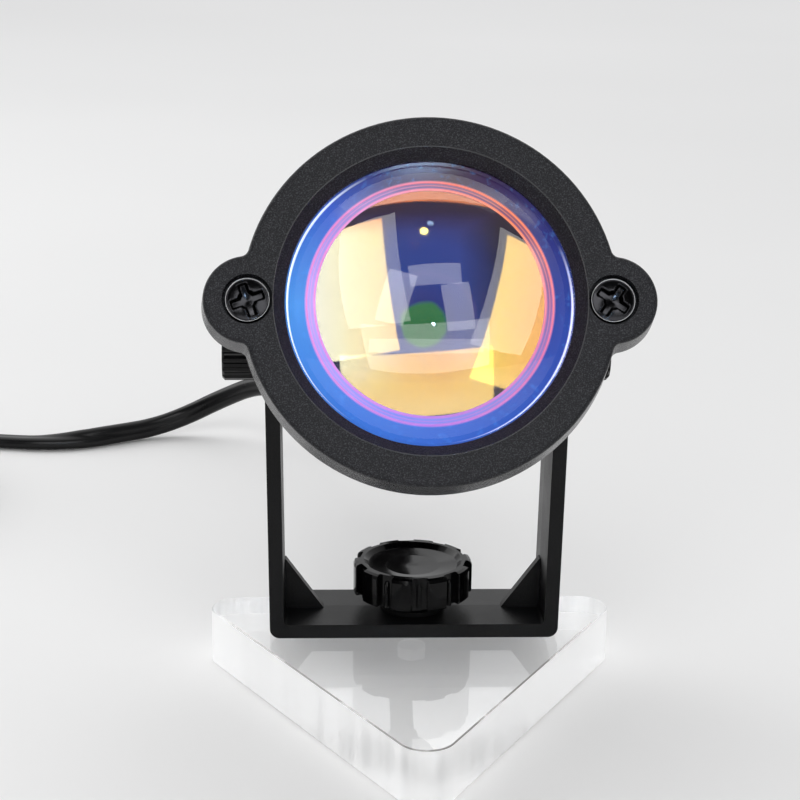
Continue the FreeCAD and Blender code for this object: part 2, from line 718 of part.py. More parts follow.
def board_clamps():
    """Two small plates that press the board's rim on the housing's face."""
    low = LED_BOARD_FACE
    plates = []
    for side in (-1, 1):
        arm = Part.makeBox(6.2, 5.0, BOARD_CLAMP_THICK, V(BOARD_SCREW_OFFSET - 4.7, -2.5, low))
        post = disc(2.5, HEAT_FACE, low, BOARD_SCREW_OFFSET)
        hole = disc(BOARD_SCREW_R + RUNNING, HEAT_FACE, low + 2, BOARD_SCREW_OFFSET)
        plate = arm.fuse(post).cut(hole)
        plates.append(turned(plate, 0 if side > 0 else 180))
    return Part.makeCompound(plates)


def board_screws():
    """The two screws of the board clamps."""
    seat = LED_BOARD_FACE + BOARD_CLAMP_THICK
    screws = []
    for side in (-1, 1):
        x = side * BOARD_SCREW_OFFSET
        shank = disc(BOARD_SCREW_R, HEAT_FACE - BOARD_SCREW_LENGTH, seat, x)
        head = disc(BOARD_SCREW_HEAD_R, seat, seat + BOARD_SCREW_HEAD_HEIGHT, x)
        screws.append(shank.fuse(head).removeSplitter())
    return Part.makeCompound(screws)


# --------------------------------------------------------------------- rear housing
def housing_blank():
    """The turned form of the rear housing, with its shoulder drawn in by two steps."""
    spigot = BORE_R - RUNNING
    outline = [
        (0, HEAT_FACE),
        (spigot, HEAT_FACE),
        (spigot, HOUSING_FRONT),
        (HOUSING_R, HOUSING_FRONT),
        (HOUSING_R, HOUSING_SHOULDER),
        (HOUSING_R - SHOULDER_STEP, HOUSING_SHOULDER - SHOULDER_STEP),
        (HOUSING_REAR_R, HOUSING_REAR),
        (0, HOUSING_REAR),
    ]
    return revolve(outline)


def fin_slots():
    """The slots between the cooling fins, cut in from the rear."""
    length = FIN_SLOT_START - HOUSING_REAR + 1
    depth = HOUSING_R - HOUSING_CORE_R + 2
    slot = Part.makeBox(depth, FIN_SLOT_WIDTH, length, V(HOUSING_CORE_R, -FIN_SLOT_WIDTH / 2, HOUSING_REAR - 1))
    slots = [turned(slot, (i + 0.5) * 360 / FIN_COUNT) for i in range(FIN_COUNT)]
    return Part.makeCompound(slots)


def rear_housing():
    """The finned die-cast housing with the pivot bosses and the driver's bay."""
    body = housing_blank().cut(fin_slots())
    for side in (-1, 1):
        start = HOUSING_R - 3
        body = body.fuse(rod_x(FRICTION_WASHER_R + 0.6, side * start, side * BOSS_FACE_X))
    for side in (-1, 1):
        bottom = BOSS_FACE_X - PIVOT_THREAD_LENGTH - LOOSE
        body = body.cut(rod_x(PIVOT_SCREW_R + THREAD_CLEAR, side * bottom, side * (BOSS_FACE_X + 1)))
    bay = [
        (0, HOUSING_REAR - 1),
        (CAP_SEAT_R, HOUSING_REAR - 1),
        (CAP_SEAT_R, HOUSING_REAR + REAR_CAP_THICK),
        (DRIVER_BAY_R, HOUSING_REAR + REAR_CAP_THICK),
        (DRIVER_BAY_R, DRIVER_SEAT),
        (DRIVER_STEP_R, DRIVER_SEAT),
        (DRIVER_STEP_R, HOUSING_REAR + DRIVER_BAY_DEPTH + REAR_CAP_THICK),
        (0, HOUSING_REAR + DRIVER_BAY_DEPTH + REAR_CAP_THICK),
    ]
    body = body.cut(revolve(bay))
    for side in (-1, 1):
        x = side * BOARD_SCREW_OFFSET
        body = body.cut(disc(BOARD_SCREW_R, HEAT_FACE - BOARD_SCREW_LENGTH - 1, HEAT_FACE, x))
        body = body.cut(disc(WIRE_R + RUNNING, HOUSING_REAR, HEAT_FACE + 1, 0, side * WIRE_OFFSET))
    return body


def rear_cap():
    """The round cover of the driver's bay: its sleeve holds the board on its seat."""
    inner = HOUSING_REAR + REAR_CAP_THICK
    sleeve_r = DRIVER_BAY_R - RUNNING
    cap = disc(CAP_SEAT_R - RUNNING, HOUSING_REAR, inner)
    cap = cap.fuse(ring(sleeve_r, sleeve_r - REAR_CAP_SLEEVE, inner, DRIVER_SEAT - DRIVER_BOARD_THICK))
    return cap.cut(disc(GLAND_SPIGOT_R + RUNNING, HOUSING_REAR - 1, inner + 1)).removeSplitter()


def driver_board():
    """The round board that limits the emitter's current."""
    low = DRIVER_SEAT - DRIVER_BOARD_THICK
    board = disc(DRIVER_BAY_R - RUNNING, low, DRIVER_SEAT)
    for side in (-1, 1):
        board = board.cut(disc(WIRE_R + RUNNING, low, DRIVER_SEAT, 0, side * WIRE_OFFSET))
    return board


def driver_inductor():
    """The drum inductor on the driver board."""
    drum = disc(INDUCTOR_R, DRIVER_SEAT, DRIVER_SEAT + INDUCTOR_HEIGHT)
    waist = ring(INDUCTOR_R + 1, INDUCTOR_R - 0.6, DRIVER_SEAT + 0.7, DRIVER_SEAT + INDUCTOR_HEIGHT - 0.7)
    return drum.cut(waist)


def led_wires():
    """The two wires from the driver board to the emitter's board."""
    low = DRIVER_SEAT - DRIVER_BOARD_THICK
    wires = [disc(WIRE_R, low, LED_BOARD_FACE, 0, side * WIRE_OFFSET) for side in (-1, 1)]
    return Part.makeCompound(wires)


def cable_gland():
    """The gland on the rear cap: a spigot, a hexagon collar and a domed nut."""
    collar = GLAND_LENGTH * 0.34
    prism = []
    for i in range(GLAND_FLATS):
        way = 2 * math.pi * (i + 0.5) / GLAND_FLATS
        prism.append(V(GLAND_R * math.cos(way), GLAND_R * math.sin(way), HOUSING_REAR - collar))
    hexagon = Part.Face(Part.makePolygon(prism + prism[:1])).extrude(V(0, 0, collar))
    nut_r = GLAND_R * 0.94
    tip = GLAND_END
    outline = [
        (0, HOUSING_REAR - collar),
        (nut_r, HOUSING_REAR - collar),
        (nut_r, tip + GLAND_DOME_ROUND),
        (nut_r - GLAND_DOME_ROUND * 0.3, tip + GLAND_DOME_ROUND * 0.4),
        (nut_r - GLAND_DOME_ROUND, tip),
        (0, tip),
    ]
    spigot = disc(GLAND_SPIGOT_R, HOUSING_REAR, HOUSING_REAR + REAR_CAP_THICK)
    body = revolve(outline).fuse(hexagon).fuse(spigot)
    bore = disc(CORD_R + THREAD_CLEAR, tip - 1, HOUSING_REAR + REAR_CAP_THICK + 1)
    return body.cut(bore).removeSplitter()


def strain_relief():
    """The short tapered sleeve where the lead leaves the gland."""
    bore = CORD_R + THREAD_CLEAR
    outline = [(bore, GLAND_END), (GROMMET_R, GLAND_END), (GROMMET_TIP_R, CORD_EXIT), (bore, CORD_EXIT)]
    return revolve(outline)


def cord_end():
    """The lead's end inside the gland and the driver's bay."""
    return disc(CORD_R, CORD_EXIT, DRIVER_SEAT - DRIVER_BOARD_THICK)


# ---------------------------------------------------------------------------- lead
def cord_route():
    """The lead's chosen points: hanging from the strain relief, then lying on the floor."""
    hanging = [
        head_point(CORD_EXIT),
        head_point(CORD_EXIT - 15.0),
        V(-0.8, 65.0, 38.9),
        V(-3.5, 84.0, 32.2),
        V(-8.0, 103.0, 27.6),
        V(-14.5, 121.0, 24.4),
        V(-23.5, 138.0, 22.0),
        V(-35.0, 153.0, 18.2),
        V(-46.5, 162.0, 10.9),
        V(-56.5, 165.0, 5.4),
        V(-66.0, 162.7, CORD_R),
    ]
    lying = [
        V(-75.0, 156.8, CORD_R),
        V(-84.5, 151.3, CORD_R),
        V(-95.5, 149.8, CORD_R),
        V(-107.0, 152.9, CORD_R),
        V(-118.5, 155.4, CORD_R),
        V(-128.5, 155.1, 2.9),
        V(-138.0, COIL_ENTRY_Y, COIL_LOW_Z),
        V(COIL_X + CORD_WIDTH, COIL_ENTRY_Y, COIL_LOW_Z),
    ]
    return hanging, lying


def tail_route():
    """The tail's chosen points, from the coil's top down to the back of the plug."""
    x = COIL_X - COIL_EXIT_R
    return [
        V(x, COIL_Y - CORD_WIDTH, COIL_HIGH_Z),
        V(x, COIL_Y - 16.0, COIL_HIGH_Z),
        V(x + 1.0, COIL_Y - 28.0, 7.2),
        V(x + 3.0, COIL_Y - 40.0, PLUG_HEIGHT / 2),
        V(x + 3.0, COIL_Y - 51.0, PLUG_HEIGHT / 2),
    ]


def bend_radii(points):
    """Each bend's radius: 0.45 of its shorter run over the tangent of half its turn."""
    radii = [0.0]
    for before, point, after in zip(points, points[1:], points[2:]):
        into = point - before
        out = after - point
        half = into.getAngle(out) / 2
        radii.append(0.45 * min(into.Length, out.Length) / math.tan(half))
    return radii + [0.0]


def cord_section(path):
    """The faceted section of the lead at the start of a wire, square to it."""
    edge = path.OrderedEdges[0]
    at = edge.valueAt(edge.FirstParameter)
    way = edge.tangentAt(edge.FirstParameter)
    side = way.cross(Z_AXIS).normalize()
    up = side.cross(way).normalize()
    corners = []
    for i in range(CORD_SIDES):
        angle = 2 * math.pi * (i + 0.5) / CORD_SIDES
        corners.append(at + (side * math.cos(angle) + up * math.sin(angle)) * CORD_R)
    return Part.makePolygon(corners + corners[:1])


def swept(name, path):
    """A faceted tube of the lead's width along a wire, with its length and volume printed."""
    section = cord_section(path)
    tube = path.makePipeShell([section], True, False)
    ideal = Part.Face(section).Area * path.Length
    print(f"{name}: length {path.Length:.1f} mm, volume ratio {tube.Volume / ideal:.4f}")
    return tube


def straight_cords():
    """The lead up to the floor, its run along the floor, and the tail to the plug."""
    hanging, lying = cord_route()
    radii = bend_radii(hanging + lying)
    seam = (hanging[-1] + lying[0]) * 0.5
    lead = rounded_wire(hanging + [seam], radii[: len(hanging)] + [0.0], False)
    run = rounded_wire([seam] + lying, [0.0] + radii[len(hanging) :], False)
    tail_points = tail_route()
    tail_radii = bend_radii(tail_points)
    tail = rounded_wire(tail_points, tail_radii, False)
    print("bend radii", [round(r, 1) for r in radii[1:-1] + tail_radii[1:-1]])
    return {
        "cord_lead": swept("cord_lead", lead),
        "cord_run": swept("cord_run", run),
        "cord_tail": swept("cord_tail", tail),
    }


def arc_from(start, way, end):
    """The arc from start, heading along way, to end."""
    chord = end - start
    half = way.getAngle(chord)
    across = (way - chord * (way.dot(chord) / chord.dot(chord))).normalize()
    sagitta = chord.Length / 2 * math.tan(half / 2)
    return Part.Arc(start, start + chord * 0.5 + across * sagitta, end).toShape()


def biarc(p0, t0, p1, t1):
    """Two tangent arcs in space, from p0 heading along t0 to p1 heading along t1."""
    v = p1 - p0
    t = t0 + t1
    spread = 2 * (1 - t0.dot(t1))
    reach = (-v.dot(t) + math.sqrt(v.dot(t) ** 2 + spread * v.dot(v))) / spread
    join = (p0 + t0 * reach + p1 - t1 * reach) * 0.5
    first = arc_from(p0, t0, join)
    second_way = first.tangentAt(first.LastParameter)
    return [first, arc_from(join, second_way, p1)]


def coil_station(k):
    """The coil's centreline and its heading after k quarter turns."""
    angle = math.pi / 2 * (k + 1)
    outward = V(math.cos(angle), math.sin(angle), 0)
    along = V(-math.sin(angle), math.cos(angle), 0)
    past = k - COIL_IN_COUNT
    radius = COIL_CORE_R + abs(past) * COIL_PITCH / 4
    level = min(max(past + 1, 0), 2) / 2
    centre = V(COIL_X, COIL_Y, COIL_LOW_Z + level * (COIL_HIGH_Z - COIL_LOW_Z))
    heading = along
    if past == 0:
        heading = along + V(0, 0, COIL_PITCH / (COIL_CORE_R * math.pi / 2))
    elif 0 < k < COIL_IN_COUNT + COIL_OUT_COUNT:
        heading = along + outward * (math.copysign(COIL_PITCH, past) / (2 * math.pi * radius))
    return centre + outward * radius, heading.normalize()


def coil_wire():
    """Spirals in on the floor, climbs a layer where it reverses, and spirals out on top."""
    last = COIL_IN_COUNT + COIL_OUT_COUNT
    stations = [coil_station(k) for k in range(last + 1)]
    start, heading = stations[0]
    edges = [Part.LineSegment(start - heading * CORD_WIDTH, start).toShape()]
    for (p0, t0), (p1, t1) in zip(stations, stations[1:]):
        edges += biarc(p0, t0, p1, t1)
    end, heading = stations[-1]
    edges.append(Part.LineSegment(end, end + heading * CORD_WIDTH).toShape())
    return Part.Wire(edges)


def least_gap(path):
    """The least gap between the tube's turns, measured on points of its centreline."""
    spots = []
    for edge in path.OrderedEdges:
        count = max(2, int(edge.Length / 1.5))
        spots += edge.discretize(count)[:-1]
    step = path.Length / len(spots)
    apart = int(3 * CORD_WIDTH / step)
    gap = path.Length
    for i, a in enumerate(spots):
        for b in spots[i + apart :]:
            gap = min(gap, (a - b).Length - CORD_WIDTH)
    return gap


def cord_coil():
    """The spare length, wound into a neat coil of two layers."""
    path = coil_wire()
    print(f"coil: least gap to itself {least_gap(path):.2f} mm")
    return swept("cord_coil", path)


def coil_tie():
    """A thin band round all the turns, at the front of the coil."""
    inner_r = COIL_CORE_R + COIL_PITCH / 2 - CORD_R - TIE_SIDE_SLACK
    outer_r = COIL_ENTRY_R - COIL_PITCH / 2 + CORD_R + TIE_SIDE_SLACK
    top = COIL_HIGH_Z + CORD_R + TIE_SLACK
    loops = []
    for grow in (TIE_THICK, 0.0):
        low = TIE_THICK - grow
        near = COIL_Y - outer_r - grow
        far = COIL_Y - inner_r + grow
        x = COIL_X - TIE_WIDTH / 2
        corners = [V(x, near, low), V(x, far, low), V(x, far, top + grow), V(x, near, top + grow)]
        outline = rounded_wire(corners, [CORD_R * 0.7 + grow] * 4)
        loops.append(Part.Face(outline).extrude(V(TIE_WIDTH, 0, 0)))
    return loops[0].cut(loops[1])


def plug_start():
    """The middle of the plug's back face."""
    return tail_route()[-1]


def rounded_bar(width, height, radius, start_y, length):
    """A bar along -Y with a rounded section, centred on the plug's axis."""
    at = plug_start()
    corners = []
    for sx, sz in ((-1, -1), (1, -1), (1, 1), (-1, 1)):
        corners.append(V(at.x + sx * width / 2, start_y, at.z + sz * height / 2))
    return Part.Face(rounded_wire(corners, [radius] * 4)).extrude(V(0, -length, 0))


def plug_body():
    """The moulded grip of the plug, tapered where the lead enters."""
    back = plug_start().y
    grip = rounded_bar(PLUG_WIDTH, PLUG_HEIGHT, PLUG_ROUND, back, PLUG_LENGTH)
    rear = [e for e in grip.Edges if e.BoundBox.YMin > back - 1e-6]
    return grip.makeFillet(PLUG_ROUND * 0.9, rear)


def plug_shell():
    """The metal shell of the plug, a thin open tube of rounded section."""
    front = plug_start().y - PLUG_LENGTH
    wall = PLUG_SHELL_WALL
    outer = rounded_bar(PLUG_SHELL_WIDTH, PLUG_SHELL_HEIGHT, PLUG_SHELL_ROUND, front, PLUG_SHELL_LENGTH)
    inner_width = PLUG_SHELL_WIDTH - 2 * wall
    inner_height = PLUG_SHELL_HEIGHT - 2 * wall
    hollow = rounded_bar(inner_width, inner_height, PLUG_SHELL_ROUND - wall * 0.9, front, PLUG_SHELL_LENGTH)
    return outer.cut(hollow)


def plug_tongue():
    """The plastic tongue that fills the lower half of the plug's shell."""
    at = plug_start()
    gap = PLUG_SHELL_WALL + THREAD_CLEAR
    width = PLUG_SHELL_WIDTH - 2 * PLUG_SHELL_ROUND
    low = at.z - PLUG_SHELL_HEIGHT / 2 + gap
    corner = V(at.x - width / 2, at.y - PLUG_LENGTH - PLUG_SHELL_LENGTH + PLUG_SHELL_WALL, low)
    return Part.makeBox(width, PLUG_SHELL_LENGTH - PLUG_SHELL_WALL, PLUG_TONGUE_THICK, corner)


# ------------------------------------------------------------------------ assembly
def standing_nodes():
    """The base, the bracket and what clamps them, the thumb knobs and the lead."""
    nodes = {
        "acrylic_base": acrylic_base(),
        "bracket": bracket(),
        "clamp_knob": clamp_knob(),
        "clamp_stud": clamp_stud(),
        "clamp_washer": clamp_washer(),
    }
    for name, side in (("left", -1), ("right", 1)):
        nodes[f"{name}_thumb_knob"] = thumb_knob(side)
        nodes[f"{name}_pivot_screw"] = pivot_screw(side)
        nodes[f"{name}_thumb_washer"] = thumb_washer(side)
    nodes.update(straight_cords())
    nodes["cord_coil"] = cord_coil()
    nodes["coil_tie"] = coil_tie()
    nodes["plug_body"] = plug_body()
    nodes["plug_shell"] = plug_shell()
    nodes["plug_tongue"] = plug_tongue()
    return nodes


def head_nodes():
    """The tilting head's pieces, along the lamp's axis."""
    return {
        "left_friction_washer": friction_washer(-1),
        "right_friction_washer": friction_washer(1),
        "front_bezel": front_bezel(),
        "bezel_screws": bezel_screws(),
        "front_lens": front_lens(),
        "lens_gasket": lens_gasket(),
        "front_barrel": front_barrel(),
        "filter_spacer": filter_spacer(),
        "dichroic_filter": dichroic_filter(),
        "condenser_holder": condenser_holder(),
        "condenser_lens": condenser_lens(),
        "led_board": led_board(),
        "led_emitter": led_emitter(),
        "thermal_pad": thermal_pad(),
        "board_clamps": board_clamps(),
        "board_screws": board_screws(),
        "rear_housing": rear_housing(),
        "rear_cap": rear_cap(),
        "driver_board": driver_board(),
        "driver_inductor": driver_inductor(),
        "led_wires": led_wires(),
        "cable_gland": cable_gland(),
        "strain_relief": strain_relief(),
        "cord_end": cord_end(),
    }


def main():
    nodes = standing_nodes()
    for name, shape in head_nodes().items():
        nodes[name] = on_head(shape)
    os.makedirs("parts", exist_ok=True)
    for name, shape in nodes.items():
        shape.exportStep(f"parts/{name}.step")
        print(f"{name}: {len(shape.Solids)} solid(s), {shape.Volume:.1f} mm3")


main()
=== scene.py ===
"""Looks for the sunset projection lamp: camera, light, materials, the flat lead and small pieces."""

import bpy
import bmesh
import math
from mathutils import Matrix, Vector


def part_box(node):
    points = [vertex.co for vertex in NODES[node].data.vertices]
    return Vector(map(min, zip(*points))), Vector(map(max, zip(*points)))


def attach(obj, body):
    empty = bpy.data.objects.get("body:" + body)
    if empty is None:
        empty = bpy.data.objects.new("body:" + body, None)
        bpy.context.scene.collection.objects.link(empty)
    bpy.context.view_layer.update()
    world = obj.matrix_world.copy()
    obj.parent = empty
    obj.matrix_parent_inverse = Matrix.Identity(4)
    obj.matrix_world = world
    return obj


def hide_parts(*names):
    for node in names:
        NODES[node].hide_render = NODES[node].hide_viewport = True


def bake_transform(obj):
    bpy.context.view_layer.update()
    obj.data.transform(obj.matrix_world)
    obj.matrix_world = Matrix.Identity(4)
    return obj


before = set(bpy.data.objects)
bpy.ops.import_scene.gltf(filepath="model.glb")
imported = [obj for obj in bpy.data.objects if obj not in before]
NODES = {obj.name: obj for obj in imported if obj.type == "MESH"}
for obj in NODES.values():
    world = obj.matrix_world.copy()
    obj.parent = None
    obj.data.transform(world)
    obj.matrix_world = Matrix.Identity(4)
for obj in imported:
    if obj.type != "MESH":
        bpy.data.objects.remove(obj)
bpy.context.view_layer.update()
MM = 0.001

# --------------------------------------------------------------- sizes from the model
PIVOT = Vector((0.0, 0.0, 0.0708))
HEAD_TILT = math.radians(26.4)

# the lens and bezel, in millimetres from the pivot along the axis or out from the axis
LENS_BACK = 47.9
LENS_FLANGE_R = 28.0
LENS_FLANGE_THICK = 2.5
LENS_FOOT = 51.2
LENS_FOOT_R = 26.2
LENS_SPHERE_R = 44.0
BEZEL_FACE = 53.6
MOUTH_R = 28.6

# the film on the lens's rim, in millimetres
FILM_INNER_R = 19.7
FILM_OUTER_R = 27.6
FILM_HALF_THICK = 0.02
FILM_BEADS = ((21.32, 0.12), (25.0, 0.14))  # each bead's radius and half width
FILM_BEAD_HEIGHT = 0.10
FILM_LINES = ((21.45, 0.42, 0.9), (20.75, 0.20, 0.45), (19.95, 0.40, 0.95))  # radius, half width, strength
# the radius of the painted highlight arc on the film
FILM_HIGHLIGHT_R = 25.35
FILM_BAND = (21.2, 21.9)  # the radii where the inner band gives way to the blue

# the ear screws
EAR_OFFSET = 0.0332
SCREW_SEAT = 0.0510
SCREW_HEAD_R = 0.00420
# the raised rim is real; its pale metal is a painted highlight
SCREW_RIM = 0.945  # the bright rim's radius, in parts of the head's
SCREW_RIM_HALF = 0.02
SCREW_RINGS = 48
SCREW_AROUND = 96
SCREWS = (("left_screw", -1, 20.0), ("right_screw", 1, 55.0))  # name, side, the cross's turn in degrees

# pieces turned about the lamp's axis
LATHE_STEPS = 160
SHARP_EDGE = math.radians(35)

# the lead and its coil
CORD_WIDTH = 0.0054
CORD_THICK = 0.0032
CORD_WAIST = 0.93  # the section's thickness between its cores, in parts of the whole
CORD_SHOULDER = 0.45  # where the waist starts, in parts of the way out to a core
CORD_EXIT_S = -0.0365
CORD_STRAIGHT = 0.015  # how far the lead runs on in line with the gland
COIL_X = -0.153
COIL_Y = 0.1146
COIL_CORE_R = 0.0206
COIL_PITCH = 0.0059
COIL_LOW_Z = 0.00345
COIL_HIGH_Z = 0.00935
COIL_IN_COUNT = 12  # quarter turns wound inwards, and the next outwards
COIL_OUT_COUNT = 13
COIL_POINTS_PER_TURN = 16

# the lead's turns about its own line, each with its start and end in metres along it
TIPPED = math.radians(80)
UPRIGHT = math.radians(90)
TIPS_AT = (0.03, 0.12)
LEVELS_AT = (0.181, 0.208)
STANDS_AT = (0.222, 0.262)
LIES_DOWN_AT = (0.055, 0.02)  # counted back from the lead's end

# the tape round the coil
TIE_THICK = 0.0006
TIE_CORNER = 0.0021
TIE_ACROSS = (  # the place across, in parts of the width, and the softening, in parts of the thickness
    (-0.5, 0.18),
    (-0.47, 0.0),
    (0.0, 0.0),
    (0.47, 0.0),
    (0.5, 0.18),
)

# ------------------------------------------------------------------------------ camera
IMAGE_WIDTH = 800
FOCAL_PIXELS = 2171.56
SENSOR_WIDTH = 36.0
CAMERA_AT = Vector((-0.023263, -0.427945, 0.191851))
CAMERA_DOWN = math.radians(17.0)
CAMERA_TURN = math.radians(2.69)
CAMERA_ROLL = math.radians(-0.78)

# ------------------------------------------------------------------------ stage, light
FLOOR_SIZE = 6.0
FLOOR_LOW = -0.0001
# the floor's colours near and far: painted light, paler away from the camera
FLOOR_NEAR = (0.820, 0.818, 0.815)
FLOOR_FAR = (0.970, 0.967, 0.965)
LIT_POINT = Vector((0.0, -0.045, 0.093))  # the point that every softbox faces
SOFTBOXES = (  # name, azimuth, elevation, distance, width, height, radiance, roll
    ("window_right", 18.6, 30.3, 0.9, 0.225, 0.37, 4.6, 0.0),
    ("window_left", -18.4, 35.0, 0.9, 0.23, 0.42, 4.6, -8.0),
    ("top_front", 6.5, 47.6, 0.9, 0.40, 0.17, 4.2, 0.0),
    ("low_front", 0.0, 11.5, 1.1, 1.2, 0.14, 3.2, 0.0),
    ("overhead", 180.0, 57.0, 3.0, 4.0, 4.0, 0.56, 0.0),
    ("left_rim", -125.0, 20.0, 0.9, 0.5, 0.6, 2.0, 0.0),
)
SPARK = ("spark", 3.5, 22.5, 0.85, 0.019, 0.019, 420.0, 0.0)
SPARK_COLOUR = (0.50, 0.72, 1.0)  # cool daylight
WORLD_COLOUR = (0.985, 0.99, 1.0, 1)
WORLD_SEEN = 0.85  # the background's brightness for the camera
WORLD_FRONT = 0.09
WORLD_BACK = 0.90

# ----------------------------------------------------------------------------- colours
BLACK = (0.010, 0.010, 0.011)
SOFT_BLACK = (0.012, 0.012, 0.013)
SPECK_COLOUR = (0.10, 0.105, 0.115)
GLASS_TINT = (0.99, 0.995, 1.0)
CLEAR_IOR = 1.49  # the acrylic, and the lenses too
FILTER_IOR = 2.9
FILTER_REACH = 24.0  # the radius in millimetres at the filter ramp's end


# ---------------------------------------------------------------------- head and camera
def head_point(s):
    """The place of a point on the lamp's axis, s from the pivot towards the front."""
    return PIVOT + Vector((0.0, -s * math.cos(HEAD_TILT), s * math.sin(HEAD_TILT)))


def head_matrix():
    """Turns (x, up, s) of the head into the row frame."""
    across = Vector((1, 0, 0))
    up = Vector((0, math.sin(HEAD_TILT), math.cos(HEAD_TILT)))
    axis = Vector((0, -math.cos(HEAD_TILT), math.sin(HEAD_TILT)))
    turn = Matrix((across, up, axis)).transposed().to_4x4()
    return Matrix.Translation(PIVOT) @ turn


def make_camera():
    """The camera that the photograph was taken with, as fitted to it."""
    forward = Vector((
        math.sin(CAMERA_TURN) * math.cos(CAMERA_DOWN),
        math.cos(CAMERA_TURN) * math.cos(CAMERA_DOWN),
        -math.sin(CAMERA_DOWN),
    ))
    level = Vector((math.cos(CAMERA_TURN), -math.sin(CAMERA_TURN), 0))
    down = forward.cross(level)
    right = level * math.cos(CAMERA_ROLL) + down * math.sin(CAMERA_ROLL)
    down = down * math.cos(CAMERA_ROLL) - level * math.sin(CAMERA_ROLL)
    camera = bpy.data.objects.new("camera", bpy.data.cameras.new("camera"))
    camera.data.sensor_width = SENSOR_WIDTH
    camera.data.lens = FOCAL_PIXELS / IMAGE_WIDTH * SENSOR_WIDTH
    camera.data.clip_start = 0.01
    camera.data.clip_end = 50
    turn = Matrix((right, -down, -forward)).transposed().to_4x4()
    camera.matrix_world = Matrix.Translation(CAMERA_AT) @ turn
    bpy.context.scene.collection.objects.link(camera)
    bpy.context.scene.camera = camera


# -------------------------------------------------------------------- material helpers
def new_material(name):
    """A material, its node tree and its Principled node."""
    material = bpy.data.materials.new(name)
    material.use_nodes = True
    tree = material.node_tree
    return material, tree, tree.nodes["Principled BSDF"]


def feed(tree, node, socket, value):
    """Links a value to a node's socket."""
    tree.links.new(value, node.inputs[socket])


def fed(node, socket):
    """What is linked to a node's socket."""
    return node.inputs[socket].links[0].from_socket


def coordinates(tree, kind="Object"):
    """The place, or another of the texture coordinates."""
    return tree.nodes.new("ShaderNodeTexCoord").outputs[kind]


def split_xyz(tree, vector):
    """The X, Y and Z sockets of a vector."""
    node = tree.nodes.new("ShaderNodeSeparateXYZ")
    feed(tree, node, "Vector", vector)
    return node.outputs


def noise(tree, size, detail=2.0, rough=0.5, stretch=(1, 1, 1)):
    """Noise whose blobs are about size metres across; stretch lengthens it along an axis."""
    mapping = tree.nodes.new("ShaderNodeMapping")
    mapping.inputs["Scale"].default_value = [1 / (size * k) for k in stretch]
    texture = tree.nodes.new("ShaderNodeTexNoise")
    texture.inputs["Scale"].default_value = 1.0
    texture.inputs["Detail"].default_value = detail
    texture.inputs["Roughness"].default_value = rough
    feed(tree, mapping, "Vector", coordinates(tree))
    feed(tree, texture, "Vector", mapping.outputs["Vector"])
    return texture.outputs["Fac"]


def remap(tree, value, low, high, out_low, out_high):
    """A value's range from low to high, turned into out_low to out_high and held there."""
    node = tree.nodes.new("ShaderNodeMapRange")
    node.inputs["From Min"].default_value = low
    node.inputs["From Max"].default_value = high
    node.inputs["To Min"].default_value = out_low
    node.inputs["To Max"].default_value = out_high
    feed(tree, node, "Value", value)
    return node.outputs["Result"]


def rise(tree, value, low, high):
    """0 up to low and 1 from high on."""
    return remap(tree, value, low, high, 0.0, 1.0)


def fall(tree, value, low, high):
    """1 up to low and 0 from high on."""
    return remap(tree, value, low, high, 1.0, 0.0)


def math_node(tree, operation, a, b=None):
    """One Math node; a and b are sockets or numbers."""
    node = tree.nodes.new("ShaderNodeMath")
    node.operation = operation
    for socket, value in zip(node.inputs, (a, b)):
        if value is None:
            continue
        if isinstance(value, (int, float)):
            socket.default_value = value
        else:
            tree.links.new(value, socket)
    return node.outputs["Value"]


def distance_from(tree, value, centre):
    """How far a value is from a number."""
    return math_node(tree, "ABSOLUTE", math_node(tree, "SUBTRACT", value, centre))


def mix_colour(tree, factor, a, b, blend="MIX"):
    """A colour between a and b, each a socket or a linear RGB triple."""
    node = tree.nodes.new("ShaderNodeMix")
    node.data_type = "RGBA"
    node.blend_type = blend
    feed(tree, node, "Factor", factor)
    for socket, value in ((node.inputs[6], a), (node.inputs[7], b)):
        if isinstance(value, tuple):
            socket.default_value = (*value, 1)
        else:
            tree.links.new(value, socket)
    return node.outputs[2]


def ramp(tree, factor, stops):
    """A colour ramp; stops are (position, linear RGB)."""
    node = tree.nodes.new("ShaderNodeValToRGB")
    elements = node.color_ramp.elements
    while len(elements) < len(stops):
        elements.new(0.5)
    for element, (position, colour) in zip(elements, stops):
        element.position = position
        element.color = (*colour, 1)
    feed(tree, node, "Fac", factor)
    return node.outputs["Color"]


def round_ramp(tree, turn, stops):
    """A ramp round the axis, which ends on the colour that it starts with."""
    return ramp(tree, turn, stops + [(1.0, stops[0][1])])


def bump(tree, bsdf, height, depth):
    """Bump of the given depth in metres, chained onto what the Principled node has."""
    node = tree.nodes.new("ShaderNodeBump")
    node.inputs["Strength"].default_value = 1.0
    node.inputs["Distance"].default_value = depth
    feed(tree, node, "Height", height)
    if bsdf.inputs["Normal"].is_linked:
        feed(tree, node, "Normal", fed(bsdf, "Normal"))
    feed(tree, bsdf, "Normal", node.outputs["Normal"])


